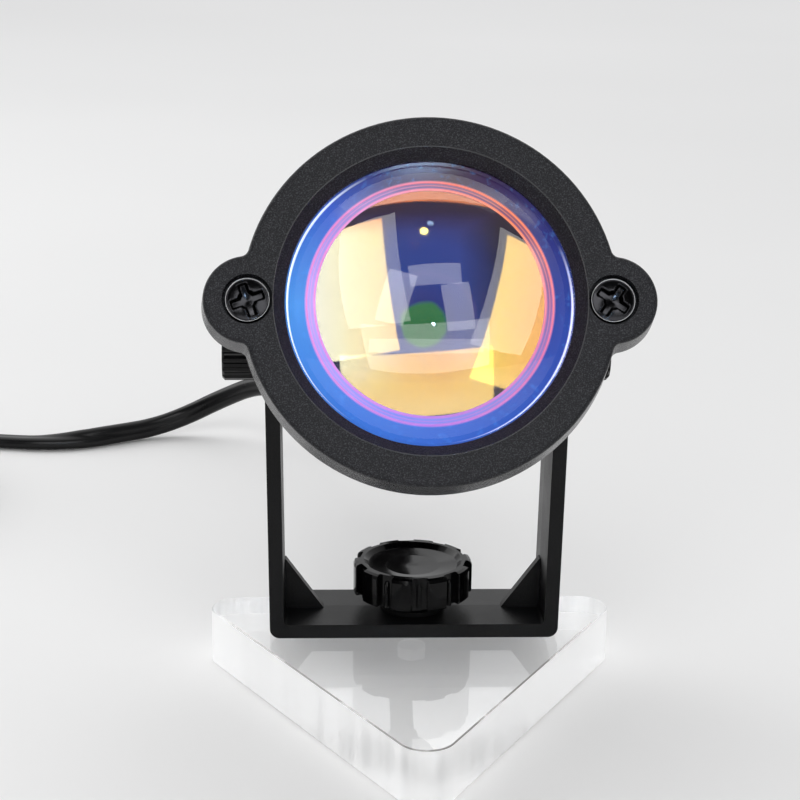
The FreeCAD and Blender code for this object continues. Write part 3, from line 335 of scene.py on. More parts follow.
# --------------------------------------------------------------------------- materials
def moulded(name, colour, rough, grain, depth, speckle=0.0, specular=0.3):
    """Moulded plastic or paint: fine grain, slow colour change, light specks, worn gloss."""
    material, tree, bsdf = new_material(name)
    fine = noise(tree, grain, 3.0, 0.6)
    slow = noise(tree, 0.009)
    lighter = tuple(min(1.0, c * 1.3 + 0.001) for c in colour)
    tone = mix_colour(tree, rise(tree, slow, 0.35, 0.65), colour, lighter)
    if speckle:
        specks = remap(tree, noise(tree, grain * 0.9), 0.48, 0.72, 0.0, speckle)
        tone = mix_colour(tree, specks, tone, SPECK_COLOUR)
    feed(tree, bsdf, "Base Color", tone)
    wear_and_sheen = remap(tree, slow, 0.3, 0.7, rough - 0.03, rough + 0.04)
    grainy = remap(tree, fine, 0.3, 0.7, -0.03, 0.03)
    feed(tree, bsdf, "Roughness", math_node(tree, "ADD", wear_and_sheen, grainy))
    bsdf.inputs["Specular IOR Level"].default_value = specular
    bump(tree, bsdf, fine, depth)
    return material


def axis_facing(tree):
    """How squarely a surface faces along the lamp's axis: 1 on its faces, 0 on its sides."""
    dot = tree.nodes.new("ShaderNodeVectorMath")
    dot.operation = "DOT_PRODUCT"
    tree.links.new(coordinates(tree, "Normal"), dot.inputs[0])
    dot.inputs[1].default_value = (0, -math.cos(HEAD_TILT), math.sin(HEAD_TILT))
    return math_node(tree, "ABSOLUTE", dot.outputs["Value"])


def bezel_plastic():
    """The bezel's moulding: a spark-eroded grain on its faces and smoother, shinier sides."""
    material = moulded("bezel_plastic", (0.0055, 0.0052, 0.0070), rough=0.48, grain=0.00025,
                       depth=0.000085, speckle=0.50, specular=0.22)
    tree = material.node_tree
    bsdf = tree.nodes["Principled BSDF"]
    side = fall(tree, axis_facing(tree), 0.25, 0.75)
    smoother = math_node(tree, "MULTIPLY", side, -0.26)
    feed(tree, bsdf, "Roughness", math_node(tree, "ADD", fed(bsdf, "Roughness"), smoother))
    return material


def metal(name, colour, rough, grain=0.0004, depth=0.000004):
    """Metal with fine tool marks and a slow change of gloss."""
    material, tree, bsdf = new_material(name)
    fine = noise(tree, grain, 3.0, 0.6)
    slow = noise(tree, 0.004)
    darker = tuple(c * 0.82 for c in colour)
    feed(tree, bsdf, "Base Color", mix_colour(tree, rise(tree, slow, 0.35, 0.65), darker, colour))
    feed(tree, bsdf, "Roughness", remap(tree, fine, 0.25, 0.75, rough * 0.8, rough * 1.25))
    bsdf.inputs["Metallic"].default_value = 1.0
    bump(tree, bsdf, fine, depth)
    return material


def rubber(name, colour, rough):
    """Soft jacket or silicone: broad sheen, fine skin, faint dust."""
    material, tree, bsdf = new_material(name)
    fine = noise(tree, 0.00035, 3.0, 0.55)
    slow = noise(tree, 0.012, 3.0, 0.6)
    dusty = tuple(c * 1.4 + 0.002 for c in colour)
    feed(tree, bsdf, "Base Color", mix_colour(tree, rise(tree, slow, 0.35, 0.7), colour, dusty))
    feed(tree, bsdf, "Roughness", remap(tree, slow, 0.3, 0.7, rough - 0.04, rough + 0.06))
    bsdf.inputs["Specular IOR Level"].default_value = 0.3
    bump(tree, bsdf, fine, 0.00001)
    return material


def woven(name, colour, thread):
    """Woven tape: crossing threads with a little fuzz."""
    material, tree, bsdf = new_material(name)
    place = coordinates(tree)
    waves = []
    for direction in ("X", "Z"):
        wave = tree.nodes.new("ShaderNodeTexWave")
        wave.bands_direction = direction
        wave.inputs["Scale"].default_value = 0.5 / thread
        wave.inputs["Distortion"].default_value = 0.6
        feed(tree, wave, "Vector", place)
        waves.append(wave.outputs["Fac"])
    weave = math_node(tree, "MULTIPLY", waves[0], waves[1])
    fuzz = noise(tree, thread * 0.5, 4.0, 0.7)
    lighter = tuple(c * 2.2 + 0.01 for c in colour)
    feed(tree, bsdf, "Base Color", mix_colour(tree, weave, colour, lighter))
    bsdf.inputs["Roughness"].default_value = 0.85
    bump(tree, bsdf, weave, 0.00012)
    bump(tree, bsdf, fuzz, 0.00005)
    return material


def clear_glass(name, colour, smudge_rough=0.0, specular=0.5):
    """Clear polished plastic or glass, with faint smudges where it has been handled."""
    material, tree, bsdf = new_material(name)
    bsdf.inputs["Transmission Weight"].default_value = 1.0
    bsdf.inputs["IOR"].default_value = CLEAR_IOR
    bsdf.inputs["Specular IOR Level"].default_value = specular
    slow = noise(tree, 0.012, 3.0, 0.6)
    feed(tree, bsdf, "Roughness", remap(tree, slow, 0.52, 0.75, 0.0, smudge_rough))
    tint = tuple(c * 0.985 for c in colour)
    feed(tree, bsdf, "Base Color", mix_colour(tree, slow, colour, tint))
    return material


def cut_acrylic():
    """Clear sheet whose sawn and flamed edges are milky and glow a little as painted light, with a warm
    line at the top edge.
    """
    material = clear_glass("clear_acrylic", (0.985, 0.985, 0.985), smudge_rough=0.06)
    tree = material.node_tree
    bsdf = tree.nodes["Principled BSDF"]
    upright = math_node(tree, "ABSOLUTE", split_xyz(tree, coordinates(tree, "Normal"))["Z"])
    edge = fall(tree, upright, 0.05, 0.2)
    bands = noise(tree, 0.0030, stretch=(1, 1, 40))
    milk_and_glow = math_node(tree, "MULTIPLY", edge, remap(tree, bands, 0.35, 0.68, 0.80, 0.62))
    chamfer = math_node(tree, "SUBTRACT", rise(tree, upright, 0.2, 0.4), rise(tree, upright, 0.85, 0.97))
    front = remap(tree, split_xyz(tree, coordinates(tree))["Y"], -0.004, 0.004, 0.38, 0.0)
    chamfer = math_node(tree, "MULTIPLY", chamfer, front)
    clouded = math_node(tree, "ADD", milk_and_glow, chamfer)
    feed(tree, bsdf, "Transmission Weight", math_node(tree, "SUBTRACT", 1.0, clouded))
    warm = mix_colour(tree, chamfer, fed(bsdf, "Base Color"), (0.42, 0.34, 0.28))
    feed(tree, bsdf, "Base Color", warm)
    # painted light: the milky edges glow white
    bsdf.inputs["Emission Color"].default_value = (1, 1, 1, 1)
    feed(tree, bsdf, "Emission Strength", math_node(tree, "MULTIPLY", milk_and_glow, 0.15))
    sawn = math_node(tree, "MULTIPLY", edge, 0.28)
    feed(tree, bsdf, "Roughness", math_node(tree, "MAXIMUM", fed(bsdf, "Roughness"), sawn))
    return material


def head_places(tree):
    """The places across and up on the head, in millimetres from the lamp's axis."""
    mapping = tree.nodes.new("ShaderNodeMapping")
    mapping.vector_type = "TEXTURE"
    mapping.inputs["Location"].default_value = PIVOT
    mapping.inputs["Rotation"].default_value = head_matrix().to_euler("XYZ")
    feed(tree, mapping, "Vector", coordinates(tree))
    split = split_xyz(tree, mapping.outputs["Vector"])
    return [math_node(tree, "MULTIPLY", split[k], 1 / MM) for k in ("X", "Y")]


def radius_of(tree, across, up):
    """The distance of a place from the lamp's axis."""
    squares = [math_node(tree, "MULTIPLY", value, value) for value in (across, up)]
    return math_node(tree, "SQRT", math_node(tree, "ADD", *squares))


def coated_filter():
    """The dichroic filter: it mirrors yellow; its blue and its green middle are painted glow."""
    material, tree, bsdf = new_material("coated_filter")
    across, up = head_places(tree)
    radius = radius_of(tree, across, up)
    wobble = remap(tree, noise(tree, 0.004), 0.3, 0.7, -0.25, 0.25)
    place = math_node(tree, "DIVIDE", math_node(tree, "ADD", radius, wobble), FILTER_REACH)
    blue = ramp(tree, place, [
        (0.000, (0.010, 0.110, 0.045)),
        (0.125, (0.012, 0.125, 0.055)),
        (0.150, (0.008, 0.030, 0.200)),
        (0.290, (0.012, 0.045, 0.270)),
        (0.312, (0.050, 0.070, 0.300)),
        (0.335, (0.012, 0.048, 0.270)),
        (0.500, (0.020, 0.050, 0.260)),
        (0.750, (0.020, 0.020, 0.110)),
        (0.900, (0.050, 0.015, 0.080)),
        (1.000, (0.030, 0.030, 0.150)),
    ])
    # painted light: the filter glows in its blue and green, strongest in the middle and dimmer to the
    # sides, low down and at the top
    feed(tree, bsdf, "Emission Color", blue)
    beside = remap(tree, math_node(tree, "ABSOLUTE", across), 5.0, 11.0, 1.0, 0.25)
    below = remap(tree, up, -9.0, -3.5, 0.25, 1.0)
    above = remap(tree, up, 13.5, 16.5, 1.0, 0.3)
    painted_glow = math_node(tree, "MINIMUM", math_node(tree, "MINIMUM", beside, below), above)
    feed(tree, bsdf, "Emission Strength", painted_glow)
    under = mix_colour(tree, rise(tree, radius, 3.2, 3.6), (0.01, 0.05, 0.02), (0.002, 0.003, 0.010))
    feed(tree, bsdf, "Base Color", under)
    bsdf.inputs["IOR"].default_value = FILTER_IOR
    yellow = ramp(tree, rise(tree, across, -17.0, 17.0), [
        (0.00, (1.0, 0.97, 0.80)),
        (0.14, (1.0, 0.93, 0.58)),
        (0.30, (1.0, 0.76, 0.22)),
        (0.42, (1.0, 0.58, 0.06)),
        (0.58, (1.0, 0.52, 0.03)),
        (0.80, (1.0, 0.64, 0.07)),
        (1.00, (1.0, 0.50, 0.14)),
    ])
    peach = mix_colour(tree, rise(tree, up, 13.0, 16.5), yellow, (0.95, 0.27, 0.05))
    golden = mix_colour(tree, fall(tree, up, -12.0, -6.0), peach, (1.0, 0.68, 0.20))
    feed(tree, bsdf, "Specular Tint", golden)
    feed(tree, bsdf, "Roughness", remap(tree, noise(tree, 0.003), 0.3, 0.7, 0.02, 0.05))
    return material


def rim_film():
    """The lens rim's interference film: azure at the left, indigo to maroon at the top; it glows as
    painted light and carries a painted highlight arc.
    """
    material, tree, bsdf = new_material("rim_film")
    across, up = head_places(tree)
    radius = radius_of(tree, across, up)
    angle = math_node(tree, "ARCTAN2", up, across)
    turn = math_node(tree, "DIVIDE", math_node(tree, "ADD", angle, math.pi), 2 * math.pi)
    blue = round_ramp(tree, turn, [
        (0.00, (0.060, 0.250, 0.660)),
        (0.14, (0.034, 0.150, 0.560)),
        (0.28, (0.030, 0.105, 0.480)),
        (0.42, (0.022, 0.060, 0.330)),
        (0.54, (0.016, 0.030, 0.210)),
        (0.64, (0.018, 0.010, 0.080)),
        (0.72, (0.030, 0.004, 0.014)),
        (0.80, (0.016, 0.008, 0.080)),
        (0.88, (0.030, 0.090, 0.460)),
    ])
    streaks = remap(tree, noise(tree, 0.0016, 3.0, 0.6), 0.55, 0.80, 0.0, 0.30)
    blue = mix_colour(tree, streaks, blue, (0.06, 0.30, 0.80))
    pink = round_ramp(tree, turn, [
        (0.00, (0.80, 0.25, 0.62)),
        (0.25, (0.45, 0.14, 0.60)),
        (0.40, (0.70, 0.16, 0.35)),
        (0.52, (0.95, 0.26, 0.28)),
        (0.62, (0.98, 0.24, 0.07)),
        (0.72, (0.95, 0.18, 0.10)),
        (0.82, (0.75, 0.20, 0.40)),
    ])
    band = round_ramp(tree, turn, [
        (0.00, (0.42, 0.34, 0.80)),
        (0.20, (0.16, 0.20, 0.66)),
        (0.40, (0.20, 0.18, 0.50)),
        (0.55, (0.20, 0.07, 0.16)),
        (0.66, (0.12, 0.03, 0.08)),
        (0.78, (0.09, 0.04, 0.18)),
        (0.90, (0.30, 0.22, 0.60)),
    ])
    # painted highlight: a bright arc near the film's outer edge, at the left, from the lower right to the
    # right, and at the upper left
    painted_highlight = round_ramp(tree, turn, [
        (0.00, (1.0, 0.95, 0.62)),
        (0.10, (0.85, 0.80, 0.45)),
        (0.16, (0.0, 0.0, 0.0)),
        (0.27, (0.0, 0.0, 0.0)),
        (0.33, (0.75, 0.78, 0.85)),
        (0.50, (0.90, 0.90, 1.0)),
        (0.57, (0.0, 0.0, 0.0)),
        (0.82, (0.0, 0.0, 0.0)),
        (0.88, (0.80, 0.85, 0.70)),
    ])
    colour = mix_colour(tree, fall(tree, radius, *FILM_BAND), blue, band)
    for centre, half, most in FILM_LINES:
        strength = remap(tree, distance_from(tree, radius, centre), 0.0, half, most, 0.0)
        colour = mix_colour(tree, strength, colour, pink)
    on_highlight_arc = fall(tree, distance_from(tree, radius, FILM_HIGHLIGHT_R), 0.10, 0.34)
    colour = mix_colour(tree, on_highlight_arc, colour, painted_highlight, "ADD")
    feed(tree, bsdf, "Base Color", colour)
    # painted light: the whole film glows in its own colours
    feed(tree, bsdf, "Emission Color", colour)
    bsdf.inputs["Emission Strength"].default_value = 0.5
    bsdf.inputs["Roughness"].default_value = 0.12
    return material


def floor_material():
    """A matt floor that grows a little paler away from the camera: painted light, with a slow random
    change of tone.
    """
    material, tree, bsdf = new_material("pale_floor")
    slow = noise(tree, 0.35)
    # painted light: paler away from the camera
    painted_light_away = remap(tree, split_xyz(tree, coordinates(tree))["Y"], 0.0, 1.0, 0.0, 0.8)
    painted_light_and_tone = math_node(tree, "ADD", painted_light_away, remap(tree, slow, 0.3, 0.7, 0.0, 0.2))
    feed(tree, bsdf, "Base Color", mix_colour(tree, painted_light_and_tone, FLOOR_NEAR, FLOOR_FAR))
    bsdf.inputs["Roughness"].default_value = 0.9
    bsdf.inputs["Specular IOR Level"].default_value = 0.1
    return material


# ------------------------------------------------------------------------ stage, light
def make_stage(material):
    """A wide pale floor."""
    sides = ((-1, -1), (1, -1), (1, 1), (-1, 1))
    corners = [(x * FLOOR_SIZE, y * FLOOR_SIZE, FLOOR_LOW) for x, y in sides]
    mesh = bpy.data.meshes.new("floor")
    mesh.from_pydata(corners, [], [(0, 1, 2, 3)])
    mesh.materials.append(material)
    floor = bpy.data.objects.new("floor", mesh)
    bpy.context.scene.collection.objects.link(floor)


def softbox(name, azimuth, elevation, distance, width, height, radiance, roll):
    """A softbox that faces the lamp's head; azimuth 0 is in front, + to the right."""
    a = math.radians(azimuth)
    e = math.radians(elevation)
    way = Vector((math.sin(a) * math.cos(e), -math.cos(a) * math.cos(e), math.sin(e)))
    light = bpy.data.lights.new(name, "AREA")
    light.shape = "RECTANGLE"
    light.size = width
    light.size_y = height
    light.energy = radiance * math.pi * width * height
    box = bpy.data.objects.new(name, light)
    place = Matrix.Translation(LIT_POINT + way * distance)
    facing = way.to_track_quat("Z", "Y").to_matrix().to_4x4()
    box.matrix_world = place @ facing @ Matrix.Rotation(math.radians(roll), 4, "Z")
    box.visible_camera = False
    bpy.context.scene.collection.objects.link(box)
    return box


def make_lights():
    """The softboxes, and the small bright disc whose white dot shows in the lens."""
    for setting in SOFTBOXES:
        softbox(*setting)
    spark = softbox(*SPARK)
    spark.data.shape = "DISK"
    spark.data.color = SPARK_COLOUR
    spark.visible_diffuse = False


def make_world():
    """Pale behind the lamp, dimmer behind the camera; the camera sees it pale all round."""
    world = bpy.data.worlds.new("studio")
    bpy.context.scene.world = world
    world.use_nodes = True
    tree = world.node_tree
    background = tree.nodes["Background"]
    behind = split_xyz(tree, coordinates(tree, "Generated"))["Y"]
    level = remap(tree, behind, -0.45, 0.30, WORLD_FRONT, WORLD_BACK)
    path = tree.nodes.new("ShaderNodeLightPath")
    seen = math_node(tree, "MULTIPLY", path.outputs["Is Camera Ray"], WORLD_SEEN)
    feed(tree, background, "Strength", math_node(tree, "MAXIMUM", level, seen))
    background.inputs["Color"].default_value = WORLD_COLOUR


# ------------------------------------------------------------------------ mesh helpers
def smooth_step(value, low, high):
    """0 up to low and 1 from high on, with a soft start and end between them."""
    t = min(1.0, max(0.0, (value - low) / (high - low)))
    return t * t * (3 - 2 * t)


def bridge(mesh, ring_a, ring_b):
    """Faces between two rings of vertices; a ring of one vertex is a tip."""
    count = max(len(ring_a), len(ring_b))
    for k in range(count):
        n = (k + 1) % count
        corners = [ring_a[k % len(ring_a)], ring_b[k % len(ring_b)]]
        corners += [ring_b[n % len(ring_b)], ring_a[n % len(ring_a)]]
        mesh.faces.new(list(dict.fromkeys(corners)))


def mesh_object(name, mesh, material):
    """A smooth-shaded object from a bmesh, linked to the scene."""
    data = bpy.data.meshes.new(name)
    mesh.to_mesh(data)
    mesh.free()
    data.materials.append(material)
    for face in data.polygons:
        face.use_smooth = True
    made = bpy.data.objects.new(name, data)
    bpy.context.scene.collection.objects.link(made)
    return made


# -------------------------------------------------------------------------------- cord
def coil_points():
    """The coil's control points: in on the floor, up a layer where it reverses, out on top."""
    per_quarter = COIL_POINTS_PER_TURN // 4
    grow = 1 / math.cos(math.pi / COIL_POINTS_PER_TURN)
    points = []
    for i in range((COIL_IN_COUNT + COIL_OUT_COUNT) * per_quarter + 1):
        k = i / per_quarter
        angle = math.pi / 2 * (k + 1)
        past = k - COIL_IN_COUNT
        radius = (COIL_CORE_R + abs(past) * COIL_PITCH / 4) * grow
        z = COIL_LOW_Z + smooth_step(past, -1, 1) * (COIL_HIGH_Z - COIL_LOW_Z)
        points.append((COIL_X + radius * math.cos(angle), COIL_Y + radius * math.sin(angle), z))
    return points


def cord_points():
    """The lead's route in metres: hanging, lying, coiled, and down to the plug."""
    flat = CORD_THICK / 2
    on_edge = CORD_WIDTH / 2 + 0.0001
    hanging = [tuple(head_point(CORD_EXIT_S)), tuple(head_point(CORD_EXIT_S - CORD_STRAIGHT))]
    hanging += [
        (-0.0008, 0.0650, 0.0385),
        (-0.0035, 0.0840, 0.0317),
        (-0.0080, 0.1030, 0.0271),
        (-0.0145, 0.1210, 0.0239),
        (-0.0235, 0.1380, 0.0215),
        (-0.0350, 0.1530, 0.0190),
        (-0.0465, 0.1620, 0.0116),
        (-0.0565, 0.1650, 0.0056),
        (-0.0660, 0.1627, on_edge),
    ]
    lying = [
        (-0.0750, 0.1576, on_edge),
        (-0.0845, 0.1533, 0.0025),
        (-0.0955, 0.1523, 0.0018),
        (-0.1070, 0.1543, flat),
        (-0.1185, 0.1554, 0.0021),
        (-0.1285, 0.1551, 0.0029),
        (-0.1380, 0.1529, COIL_LOW_Z),
        (-0.1476, 0.1529, COIL_LOW_Z),
    ]
    x = COIL_X - COIL_CORE_R - COIL_OUT_COUNT * COIL_PITCH / 4
    tail = [
        (x, COIL_Y - 0.0160, COIL_HIGH_Z),
        (x + 0.001, COIL_Y - 0.0280, 0.0072),
        (x + 0.003, COIL_Y - 0.0400, 0.0040),
        (x + 0.003, COIL_Y - 0.0510, 0.0040),
    ]
    return hanging + lying + coil_points() + tail


def route_line(points):
    """The smooth line through the route: a quadratic NURBS spline, read as points."""
    curve = bpy.data.curves.new("route", "CURVE")
    curve.dimensions = "3D"
    curve.resolution_u = 8
    spline = curve.splines.new("NURBS")
    spline.points.add(len(points) - 1)
    for target, point in zip(spline.points, points):
        target.co = (*point, 1)
    spline.order_u = 3
    spline.use_endpoint_u = True
    holder = bpy.data.objects.new("route", curve)
    line = bpy.data.meshes.new_from_object(holder)
    found = [v.co.copy() for v in line.vertices]
    bpy.data.objects.remove(holder)
    bpy.data.meshes.remove(line)
    bpy.data.curves.remove(curve)
    return found


def cord_roll(along, total):
    """The flat lead's turn about its line: level, tipped, level, on edge, and level at the plug."""
    tipped = TIPPED * smooth_step(along, *TIPS_AT) * (1 - smooth_step(along, *LEVELS_AT))
    on_edge = UPRIGHT * smooth_step(along, *STANDS_AT)
    start, end = [total - before for before in LIES_DOWN_AT]
    flat_again = UPRIGHT * smooth_step(along, start, end)
    return tipped + on_edge - flat_again


def cord_section():
    """The flat lead's section, with a shallow waist between its two cores."""
    half = CORD_THICK / 2
    flat = CORD_WIDTH / 2 - half
    shoulder = flat * CORD_SHOULDER
    steps = 6
    points = []
    for side in (1, -1):
        for i in range(steps + 1):
            angle = math.pi * (i / steps - 0.5)
            points.append((side * (flat + half * math.cos(angle)), side * half * math.sin(angle)))
        points.append((side * shoulder, side * half * (1 + CORD_WAIST) / 2))
        points.append((0.0, side * half * CORD_WAIST))
        points.append((-side * shoulder, side * half * (1 + CORD_WAIST) / 2))
    return points


def swept_cord(line):
    """The lead's section swept along its line, turned by its roll."""
    along = [0.0]
    for a, b in zip(line, line[1:]):
        along.append(along[-1] + (b - a).length)
    section = cord_section()
    mesh = bmesh.new()
    rings = []
    for i, point in enumerate(line):
        way = (line[min(i + 1, len(line) - 1)] - line[max(i - 1, 0)]).normalized()
        side = way.cross(Vector((0, 0, 1))).normalized()
        up = side.cross(way)
        roll = cord_roll(along[i], along[-1])
        across = side * math.cos(roll) + up * math.sin(roll)
        over = up * math.cos(roll) - side * math.sin(roll)
        rings.append([mesh.verts.new(point + across * a + over * b) for a, b in section])
    for ring_a, ring_b in zip(rings, rings[1:]):
        bridge(mesh, ring_a, ring_b)
    mesh.faces.new(rings[0][::-1])
    mesh.faces.new(rings[-1])
    bmesh.ops.recalc_face_normals(mesh, faces=mesh.faces)
    return mesh


def make_cord(material):
    """The flat lead, which stands in for the lead's CAD nodes."""
    line = route_line(cord_points())
    cord = mesh_object("flat_lead", swept_cord(line), material)
    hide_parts("cord_lead", "cord_run", "cord_coil", "cord_tail")
    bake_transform(cord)


# ------------------------------------------------------------------------- small pieces
def tie_outline(half_y, half_z):
    """The round-cornered loop of the tape: each point's place, and the way out from it."""
    steps = 6
    outline = []
    for quarter, (sy, sz) in enumerate(((1, 1), (-1, 1), (-1, -1), (1, -1))):
        centre = Vector((0.0, sy * (half_y - TIE_CORNER), sz * (half_z - TIE_CORNER)))
        for i in range(steps + 1):
            angle = math.pi / 2 * (quarter + i / steps)
            out = Vector((0.0, math.cos(angle), math.sin(angle)))
            outline.append((centre + out * TIE_CORNER, out))
    return outline


def make_tie(material):
    """The woven tape round the coil, with softened edges."""
    low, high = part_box("coil_tie")
    middle = (low + high) / 2
    across = [(Vector((part * (high.x - low.x), 0, 0)), soft) for part, soft in TIE_ACROSS]
    mesh = bmesh.new()
    rings = []
    for place, out in tie_outline((high.y - low.y) / 2, (high.z - low.z) / 2):
        inwards = -TIE_THICK * out
        outer = [place + step + inwards * soft for step, soft in across]
        inner = [place + step + inwards * (1 - soft) for step, soft in across]
        rings.append([mesh.verts.new(middle + p) for p in outer + inner[::-1]])
    for ring_a, ring_b in zip(rings, rings[1:] + rings[:1]):
        bridge(mesh, ring_a, ring_b)
    bmesh.ops.recalc_face_normals(mesh, faces=mesh.faces)
    tie = mesh_object("lead_tie", mesh, material)
    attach(tie, "stand")
    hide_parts("coil_tie")


def head_lathe(name, material, profile):
    """A piece turned about the lamp's axis; its profile is (radius, s) in millimetres."""
    mesh = bmesh.new()
    to_row = head_matrix()
    rings = []
    for r, s in profile:
        ring = []
        for i in range(LATHE_STEPS if r > 0 else 1):
            angle = 2 * math.pi * i / LATHE_STEPS
            place = Vector((r * math.cos(angle), r * math.sin(angle), s)) * MM
            ring.append(mesh.verts.new(to_row @ place))
        rings.append(ring)
    for ring_a, ring_b in zip(rings, rings[1:]):
        bridge(mesh, ring_a, ring_b)
    if profile[0][0] > 0:
        bridge(mesh, rings[-1], rings[0])
    bmesh.ops.recalc_face_normals(mesh, faces=mesh.faces)
    for edge in mesh.edges:
        edge.smooth = edge.calc_face_angle() < SHARP_EDGE
    made = mesh_object(name, mesh, material)
    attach(made, "head")
    return made


def make_dome_lens(material):
    """The domed front lens with its flange, smooth all the way to its tip."""
    centre = LENS_FOOT - math.sqrt(LENS_SPHERE_R ** 2 - LENS_FOOT_R ** 2)
    opening = math.asin(LENS_FOOT_R / LENS_SPHERE_R)
    flange = LENS_BACK + LENS_FLANGE_THICK
    steps = 40
    outline = [(0, LENS_BACK), (LENS_FLANGE_R, LENS_BACK), (LENS_FLANGE_R, flange), (LENS_FOOT_R, flange)]
    for k in range(steps, 0, -1):
        angle = opening * k / steps
        outline.append((LENS_SPHERE_R * math.sin(angle), centre + LENS_SPHERE_R * math.cos(angle)))
    outline.append((0, centre + LENS_SPHERE_R))
    lens = head_lathe("dome_lens", material, outline)
    lens.visible_shadow = False
    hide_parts("front_lens")


def bead_outline(centre, half):
    """A low rounded bead on the film, from its inner to its outer foot."""
    steps = 4
    foot = LENS_BACK + FILM_HALF_THICK
    points = []
    for k in range(steps + 1):
        angle = math.pi * k / steps
        points.append((centre - math.cos(angle) * half, foot + FILM_BEAD_HEIGHT * math.sin(angle)))
    return points


def make_rim_film(material):
    """The film on the rim of the lens's back, with two fine beads."""
    low = LENS_BACK - FILM_HALF_THICK
    high = LENS_BACK + FILM_HALF_THICK
    outline = [(FILM_INNER_R, low), (FILM_INNER_R, high)]
    for centre, half in FILM_BEADS:
        outline += bead_outline(centre, half)
    outline += [(FILM_OUTER_R, high), (FILM_OUTER_R, low)]
    head_lathe("lens_rim_film", material, outline)


def make_lip(material):
    """The fine rounded lip where the bezel's face turns in to its mouth."""
    half = 0.14
    rise_by = 0.07
    sunk = 0.03
    steps = 6
    outline = []
    for k in range(steps + 1):
        angle = math.pi * k / steps
        outline.append((MOUTH_R - half * math.cos(angle), BEZEL_FACE - sunk + rise_by * math.sin(angle)))
    outline.append((MOUTH_R + 0.1, BEZEL_FACE - 0.4))
    head_lathe("bezel_lip", material, outline)


def screw_height(x, y):
    """The height of a screw head at a place on it, all in parts of the head's radius."""
    top = 0.50
    dome_drop = 0.14
    rim_height = 0.07
    rim_width = 0.03
    edge_start = 0.965
    edge_drop = 0.36
    arm_reach = 0.72
    arm_half = 0.165
    bowl_radius = 0.36
    bowl_slope = 0.55
    wall = (-0.04, 0.05)
    arm_depth = 0.24
    more_in_middle = 0.16
    radius = math.hypot(x, y)
    dome = top - dome_drop * radius * radius
    rim = rim_height * math.exp(-(((radius - SCREW_RIM) / rim_width) ** 2))
    edge = edge_drop * smooth_step(radius, edge_start, 1.0)
    level_arm = max(abs(x) - arm_reach, abs(y) - arm_half)
    upright_arm = max(abs(y) - arm_reach, abs(x) - arm_half)
    outside = min(level_arm, upright_arm, (radius - bowl_radius) * bowl_slope)
    recess = 1 - smooth_step(outside, *wall)
    depth = arm_depth + more_in_middle * (1 - min(radius / arm_reach, 1))
    return dome + rim - edge - recess * depth


def screw_point(part, angle, turn):
    """A point of a screw head's top, in parts of its radius, with the cross turned."""
    x = part * math.cos(angle)
    y = part * math.sin(angle)
    u = x * math.cos(turn) + y * math.sin(turn)
    v = y * math.cos(turn) - x * math.sin(turn)
    return Vector((x, y, screw_height(u, v)))


def make_screw(name, side, turn, material, wear_and_sheen):
    """A pan-head screw with a cross recess and a fine raised rim, whose faces take a pale metal as a
    painted highlight.
    """
    centre = Vector((side * EAR_OFFSET, 0.0, SCREW_SEAT))
    to_row = head_matrix()
    mesh = bmesh.new()

    def vertex(place):
        return mesh.verts.new(to_row @ (centre + place * SCREW_HEAD_R))

    angles = [2 * math.pi * k / SCREW_AROUND for k in range(SCREW_AROUND)]
    rings = []
    for i in range(SCREW_RINGS):
        part = (i + 1) / SCREW_RINGS
        rings.append([vertex(screw_point(part, angle, turn)) for angle in angles])
    rings.append([vertex(Vector((math.cos(angle), math.sin(angle), 0))) for angle in angles])
    rings.insert(0, [vertex(screw_point(0, 0, turn))])
    for ring_a, ring_b in zip(rings, rings[1:]):
        bridge(mesh, ring_a, ring_b)
    mesh.faces.new(rings[-1][::-1])
    bmesh.ops.recalc_face_normals(mesh, faces=mesh.faces)
    # painted highlight: the faces on the raised rim take the pale metal, a bright line round the head
    to_screw = to_row.inverted()
    for face in mesh.faces:
        place = to_screw @ face.calc_center_median() - centre
        if abs(place.xy.length / SCREW_HEAD_R - SCREW_RIM) < SCREW_RIM_HALF:
            face.material_index = 1
    screw = mesh_object(name, mesh, material)
    screw.data.materials.append(wear_and_sheen)
    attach(screw, "head")
    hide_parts("bezel_screws")


# ------------------------------------------------------------------------------- nodes
def paint(material, *names):
    """Gives CAD nodes a material."""
    for name in names:
        node = NODES[name]
        node.data.materials.clear()
        node.data.materials.append(material)


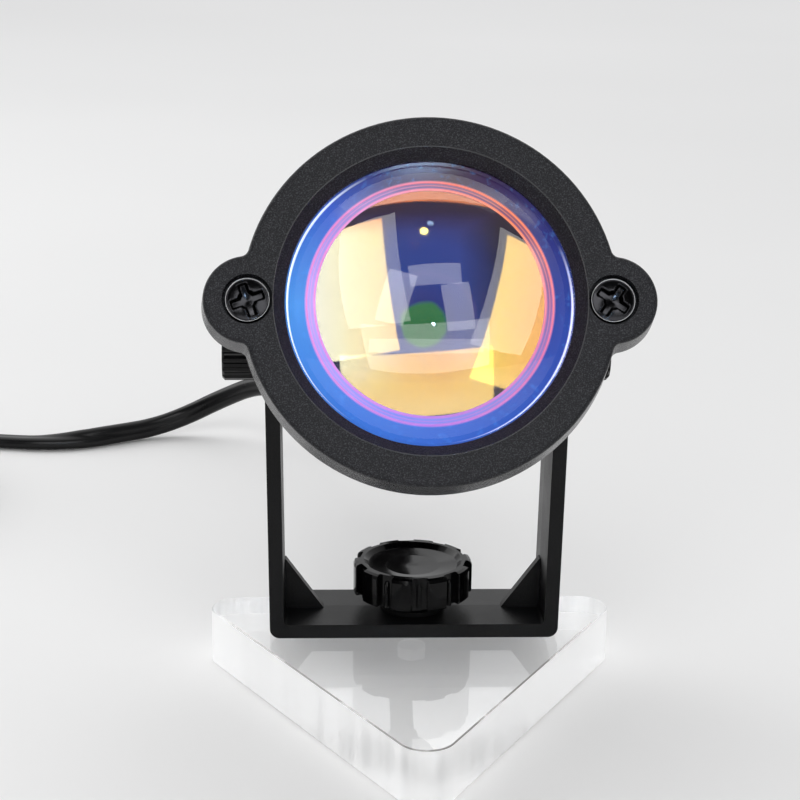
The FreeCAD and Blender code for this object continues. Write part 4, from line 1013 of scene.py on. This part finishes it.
def paint_outside():
    """The nodes that show: bracket, knobs, housing, washers, plug and base."""
    paint(moulded("bracket_plastic", (0.0042, 0.0042, 0.0045), rough=0.38, grain=0.00026,
                  depth=0.000030, speckle=0.06, specular=0.16), "bracket")
    paint(moulded("knob_plastic", (0.0012, 0.0012, 0.0014), rough=0.10, grain=0.00090,
                  depth=0.000002, specular=0.18), "clamp_knob", "left_thumb_knob", "right_thumb_knob")
    paint(bezel_plastic(), "front_bezel")
    paint(moulded("powder_coat", BLACK, rough=0.46, grain=0.00050, depth=0.000020, speckle=0.15),
          "front_barrel", "rear_housing", "rear_cap")
    paint(moulded("gland_plastic", BLACK, rough=0.36, grain=0.00040, depth=0.000012), "cable_gland")
    paint(moulded("washer_nylon", (0.004, 0.004, 0.004), rough=0.65, grain=0.00040,
                  depth=0.000008, specular=0.1),
          "clamp_washer", "left_friction_washer", "right_friction_washer")
    paint(metal("zinc_steel", (0.62, 0.62, 0.63), rough=0.28),
          "clamp_stud", "left_pivot_screw", "right_pivot_screw", "left_thumb_washer",
          "right_thumb_washer", "plug_shell", "board_clamps", "board_screws")
    paint(rubber("soft_silicone", SOFT_BLACK, rough=0.5), "lens_gasket", "thermal_pad", "strain_relief")
    paint(rubber("plug_grip", SOFT_BLACK, rough=0.42), "plug_body", "cord_end")
    paint(moulded("white_plastic", (0.80, 0.80, 0.78), rough=0.40, grain=0.00040, depth=0.000006),
          "plug_tongue", "condenser_holder")
    paint(cut_acrylic(), "acrylic_base")
    paint(coated_filter(), "dichroic_filter")


def paint_inside():
    """The nodes that only show when the head is opened."""
    paint(metal("bare_aluminium", (0.72, 0.73, 0.73), rough=0.35, grain=0.0006),
          "led_board", "driver_inductor")
    paint(metal("inner_black", (0.020, 0.020, 0.022), rough=0.35, grain=0.0005), "filter_spacer")
    paint(moulded("phosphor", (0.85, 0.66, 0.10), rough=0.30, grain=0.00020, depth=0.000010),
          "led_emitter")
    paint(moulded("green_board", (0.020, 0.160, 0.060), rough=0.35, grain=0.00050, depth=0.000010),
          "driver_board")
    paint(moulded("wire_jacket", (0.50, 0.03, 0.03), rough=0.35, grain=0.00050, depth=0.000006),
          "led_wires")
    paint(clear_glass("lens_glass", GLASS_TINT), "condenser_lens")


def make_pieces():
    """The pieces that stand in for CAD nodes, and the fine trim."""
    make_tie(woven("tie_tape", SOFT_BLACK, thread=0.0005))
    make_cord(rubber("cord_jacket", (0.0030, 0.0030, 0.0034), rough=0.30))
    make_rim_film(rim_film())
    make_dome_lens(clear_glass("dome_glass", GLASS_TINT, specular=0.25))
    screw_metal = metal("screw_black", (0.022, 0.022, 0.024), rough=0.14, grain=0.0005, depth=0.000008)
    # painted highlight: the pale metal on the screws' rims
    painted_sheen_metal = metal("screw_painted_sheen_rim", (0.42, 0.42, 0.43), rough=0.30, grain=0.0003, depth=0.000008)
    for name, side, turn in SCREWS:
        make_screw(name, side, math.radians(turn), screw_metal, painted_sheen_metal)
    make_lip(moulded("lip_plastic", (0.010, 0.010, 0.012), rough=0.28, grain=0.00030,
                     depth=0.000010, specular=0.5))


def main():
    make_camera()
    make_stage(floor_material())
    make_lights()
    make_world()
    paint_outside()
    paint_inside()
    for name in ("acrylic_base", "condenser_lens"):
        NODES[name].visible_shadow = False
    make_pieces()
    bpy.context.scene.view_settings.view_transform = "Standard"
    bpy.context.view_layer.update()


main()
